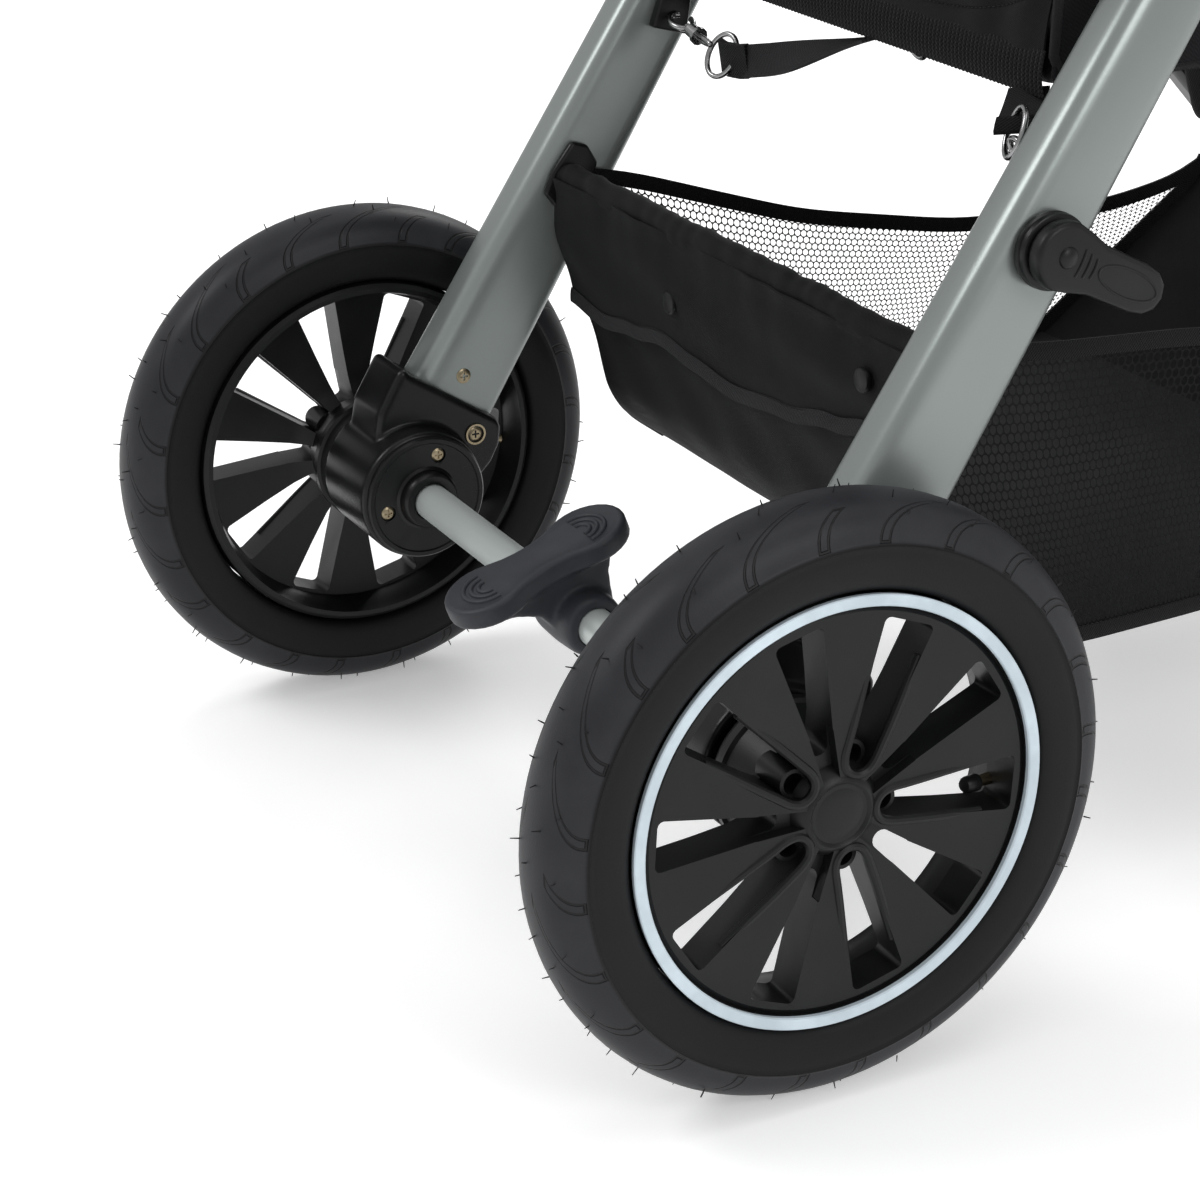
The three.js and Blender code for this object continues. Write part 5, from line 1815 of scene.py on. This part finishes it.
HOOD = (("canopy_rear", "frame", 0, 97.2, 142), ("canopy_middle", "canopy_middle", 1, 53, 99),
        ("canopy_front", "canopy_front", 2, 10.2, 55))
for name, body, step, a0, a1 in HOOD:
    panel = hood_panel(name + "_cloth", step, a0, a1)
    modified(panel, "SOLIDIFY", thickness=0.0014, offset=-1)
    finished(panel, HOOD_CLOTH, "canopy_cloth", body, name, angle=80)
    as_sheet(panel, "stretched", [name + "_bow"])
    for a in (a0 + 0.8, a1 - 0.8):
        line = [hood_point(math.radians(a), 0.0004 + 0.9992 * i / 48, CANOPY_R - 0.8 - 5 * step,
                           CANOPY_W - 0.8 - 5 * step, 1.9) for i in range(49)]
        finished(drawn(name + "_bow", line, 2.1, sides=8, steps=2), BINDING, "canopy_cloth", body, angle=60)
    for a in (a0 + 2.6, a1 - 2.6):
        line = [hood_point(math.radians(a), 0.06 + 0.88 * i / 90, CANOPY_R - 0.5 - 5 * step,
                           CANOPY_W - 0.5 - 5 * step, 0.3) for i in range(91)]
        finished(stitches(name + "_thread", line, 4.2, 0.34), WEBBING, "canopy_cloth", body)


def hood_joint(step):
    half = CANOPY_W - 5 * step
    return spun("hood_joint", [[half - 4.0, 0.01], [half - 4.0, 17.5], [half - 3.2, 18.6], [half - 0.8, 18.8],
                               [half - 0.2, 17.6], [half - 0.2, 0.01]], (0, CY, CZ), 48)


for name, body, step, _, _ in HOOD:
    for side, piece in mirrored_pair(hood_joint, step):
        finished(piece, BRACKET, "black_plastic", body)

# ---------------------------------------------------------------- straps between the legs and the seat
lug_lo, lug_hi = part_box("strap_lug_right")
LUG = ((lug_lo.x + lug_hi.x) * 500, ((lug_lo.y + lug_hi.y) / 2 - AXLE_Y) * 1000, (lug_lo.z + lug_hi.z) * 500)


def curve_between(a, b, sag, n=16):
    return [a.lerp(b, i / n) - Vector((0, 0, sag / 1000)) * 4 * (i / n) * (1 - i / n) for i in range(n + 1)]


def snap_hook(start, end):
    """Swivel snap hook: eye, barrel with its collar, shank and curved hook."""
    run = (end - start).normalized()
    side = run.cross(Vector((1, 0, 0))).normalized()
    parts = [drawn("barrel", [start.lerp(end, 0.55), start.lerp(end, 0.66), start.lerp(end, 0.76)], 4.2, sides=16,
                   steps=2),
             drawn("collar", [start.lerp(end, 0.74), start.lerp(end, 0.77), start.lerp(end, 0.80)],
                                 5.4, sides=16, steps=2)]
    gap = (end - start).length
    hook = []
    for i in range(15):
        a = math.radians(-30 + 300 * i / 14)
        hook.append(start + run * (0.28 * gap) + run * (0.22 * gap) * -math.cos(a) + side * 0.0062 * math.sin(a))
    parts.append(drawn("hook", hook, 1.8, sides=12, steps=4))
    parts.append(drawn("shank", [start + run * 0.45 * gap, start + run * 0.52 * gap, start.lerp(end, 0.6)], 2.2,
                       sides=12, steps=2))
    eye = []
    for i in range(20):
        a = i / 20 * math.tau
        eye.append(end + run * 0.006 * math.cos(a) + Vector((1, 0, 0)) * 0.0065 * math.sin(a) - run * 0.004)
    parts.append(drawn("eye", eye, 1.7, closed=True, sides=12, steps=3))
    return joined("snap_hook", parts)


def ring(centre, along_line, across, size):
    pts = []
    for i in range(28):
        a = i / 28 * math.tau
        pts.append(centre + along_line * size * 0.8 * math.cos(a) + across * size * math.sin(a))
    return drawn("strap_ring", pts, 1.6, closed=True, sides=12, steps=3)


def straps(sign):
    lug = at(sign * (LUG[0] - 3), LUG[1], LUG[2])
    if sign < 0:
        hook_end = at(-146, 171, 405)
        ring_at = at(-133, 174, 400)
        web = curve_between(at(-124, 175, 398), at(14, 184, 437), 3.0)
        turns = [Vector((0.15, -0.25, 1)).lerp(Vector((0.05, 1, 0.1)), i / 16) for i in range(17)]
    else:
        hook_end = at(178, 158, 420)
        ring_at = at(174, 160, 424)
        lug = at(184, 160, 408)
        web = curve_between(at(171, 163, 428), at(150, 184, 438), 1.0)
        turns = [Vector((0.6, 0.8, 0.1)) for i in range(17)]
    hook = snap_hook(lug, hook_end)
    finished(hook, STEEL, "steel", "rear_frame", angle=50)
    loop = ring(ring_at, Vector((0.9 * -sign, 0.3, 0)).normalized(), Vector((0, 0.35, 0.94)), 0.0125)
    finished(loop, STEEL, "steel", "rear_frame", angle=50)
    strap = ribbon("adjusting_strap", web, 20, turns)
    finished(strap, WEBBING, "seat_cloth", None, angle=80)
    tab = ribbon("strap_tab", [ring_at, ring_at.lerp(web[0], 0.6), web[1], web[2]], 21, [turns[0]] * 4, 3.2)
    finished(tab, BINDING, "seat_cloth", None, angle=80)
    for cloth in (strap, tab):
        tuple(web[0])
        tuple(web[-1])
        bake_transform(cloth)


straps(-1)
straps(1)
d_ring = ring(at(46, SEAT_Y0 + 4, SEAT_Z0 + 3), Vector((1, 0, 0)), Vector((0, -0.35, 0.94)), 0.0095)
finished(d_ring, STEEL, "steel", "frame", angle=50)

# ---------------------------------------------------------------- floor and close
settle()
ops.object.select_all(action="DESELECT")
ops.mesh.primitive_plane_add(size=30, location=(0, 0, -0.0006))
floor = bpy.context.object
floor.name = "studio_floor"
paper = Finish("studio_paper")
paper.set("Base Color", paper.blend_colours(paper.cloud(2, 2), (0.93, 0.93, 0.93), (0.95, 0.95, 0.95)))
paper.set("Roughness", 0.9)
paper.set("Emission Color", (1, 1, 1))
paper.set("Emission Strength", 0.3)
floor.data.materials.append(paper.material)
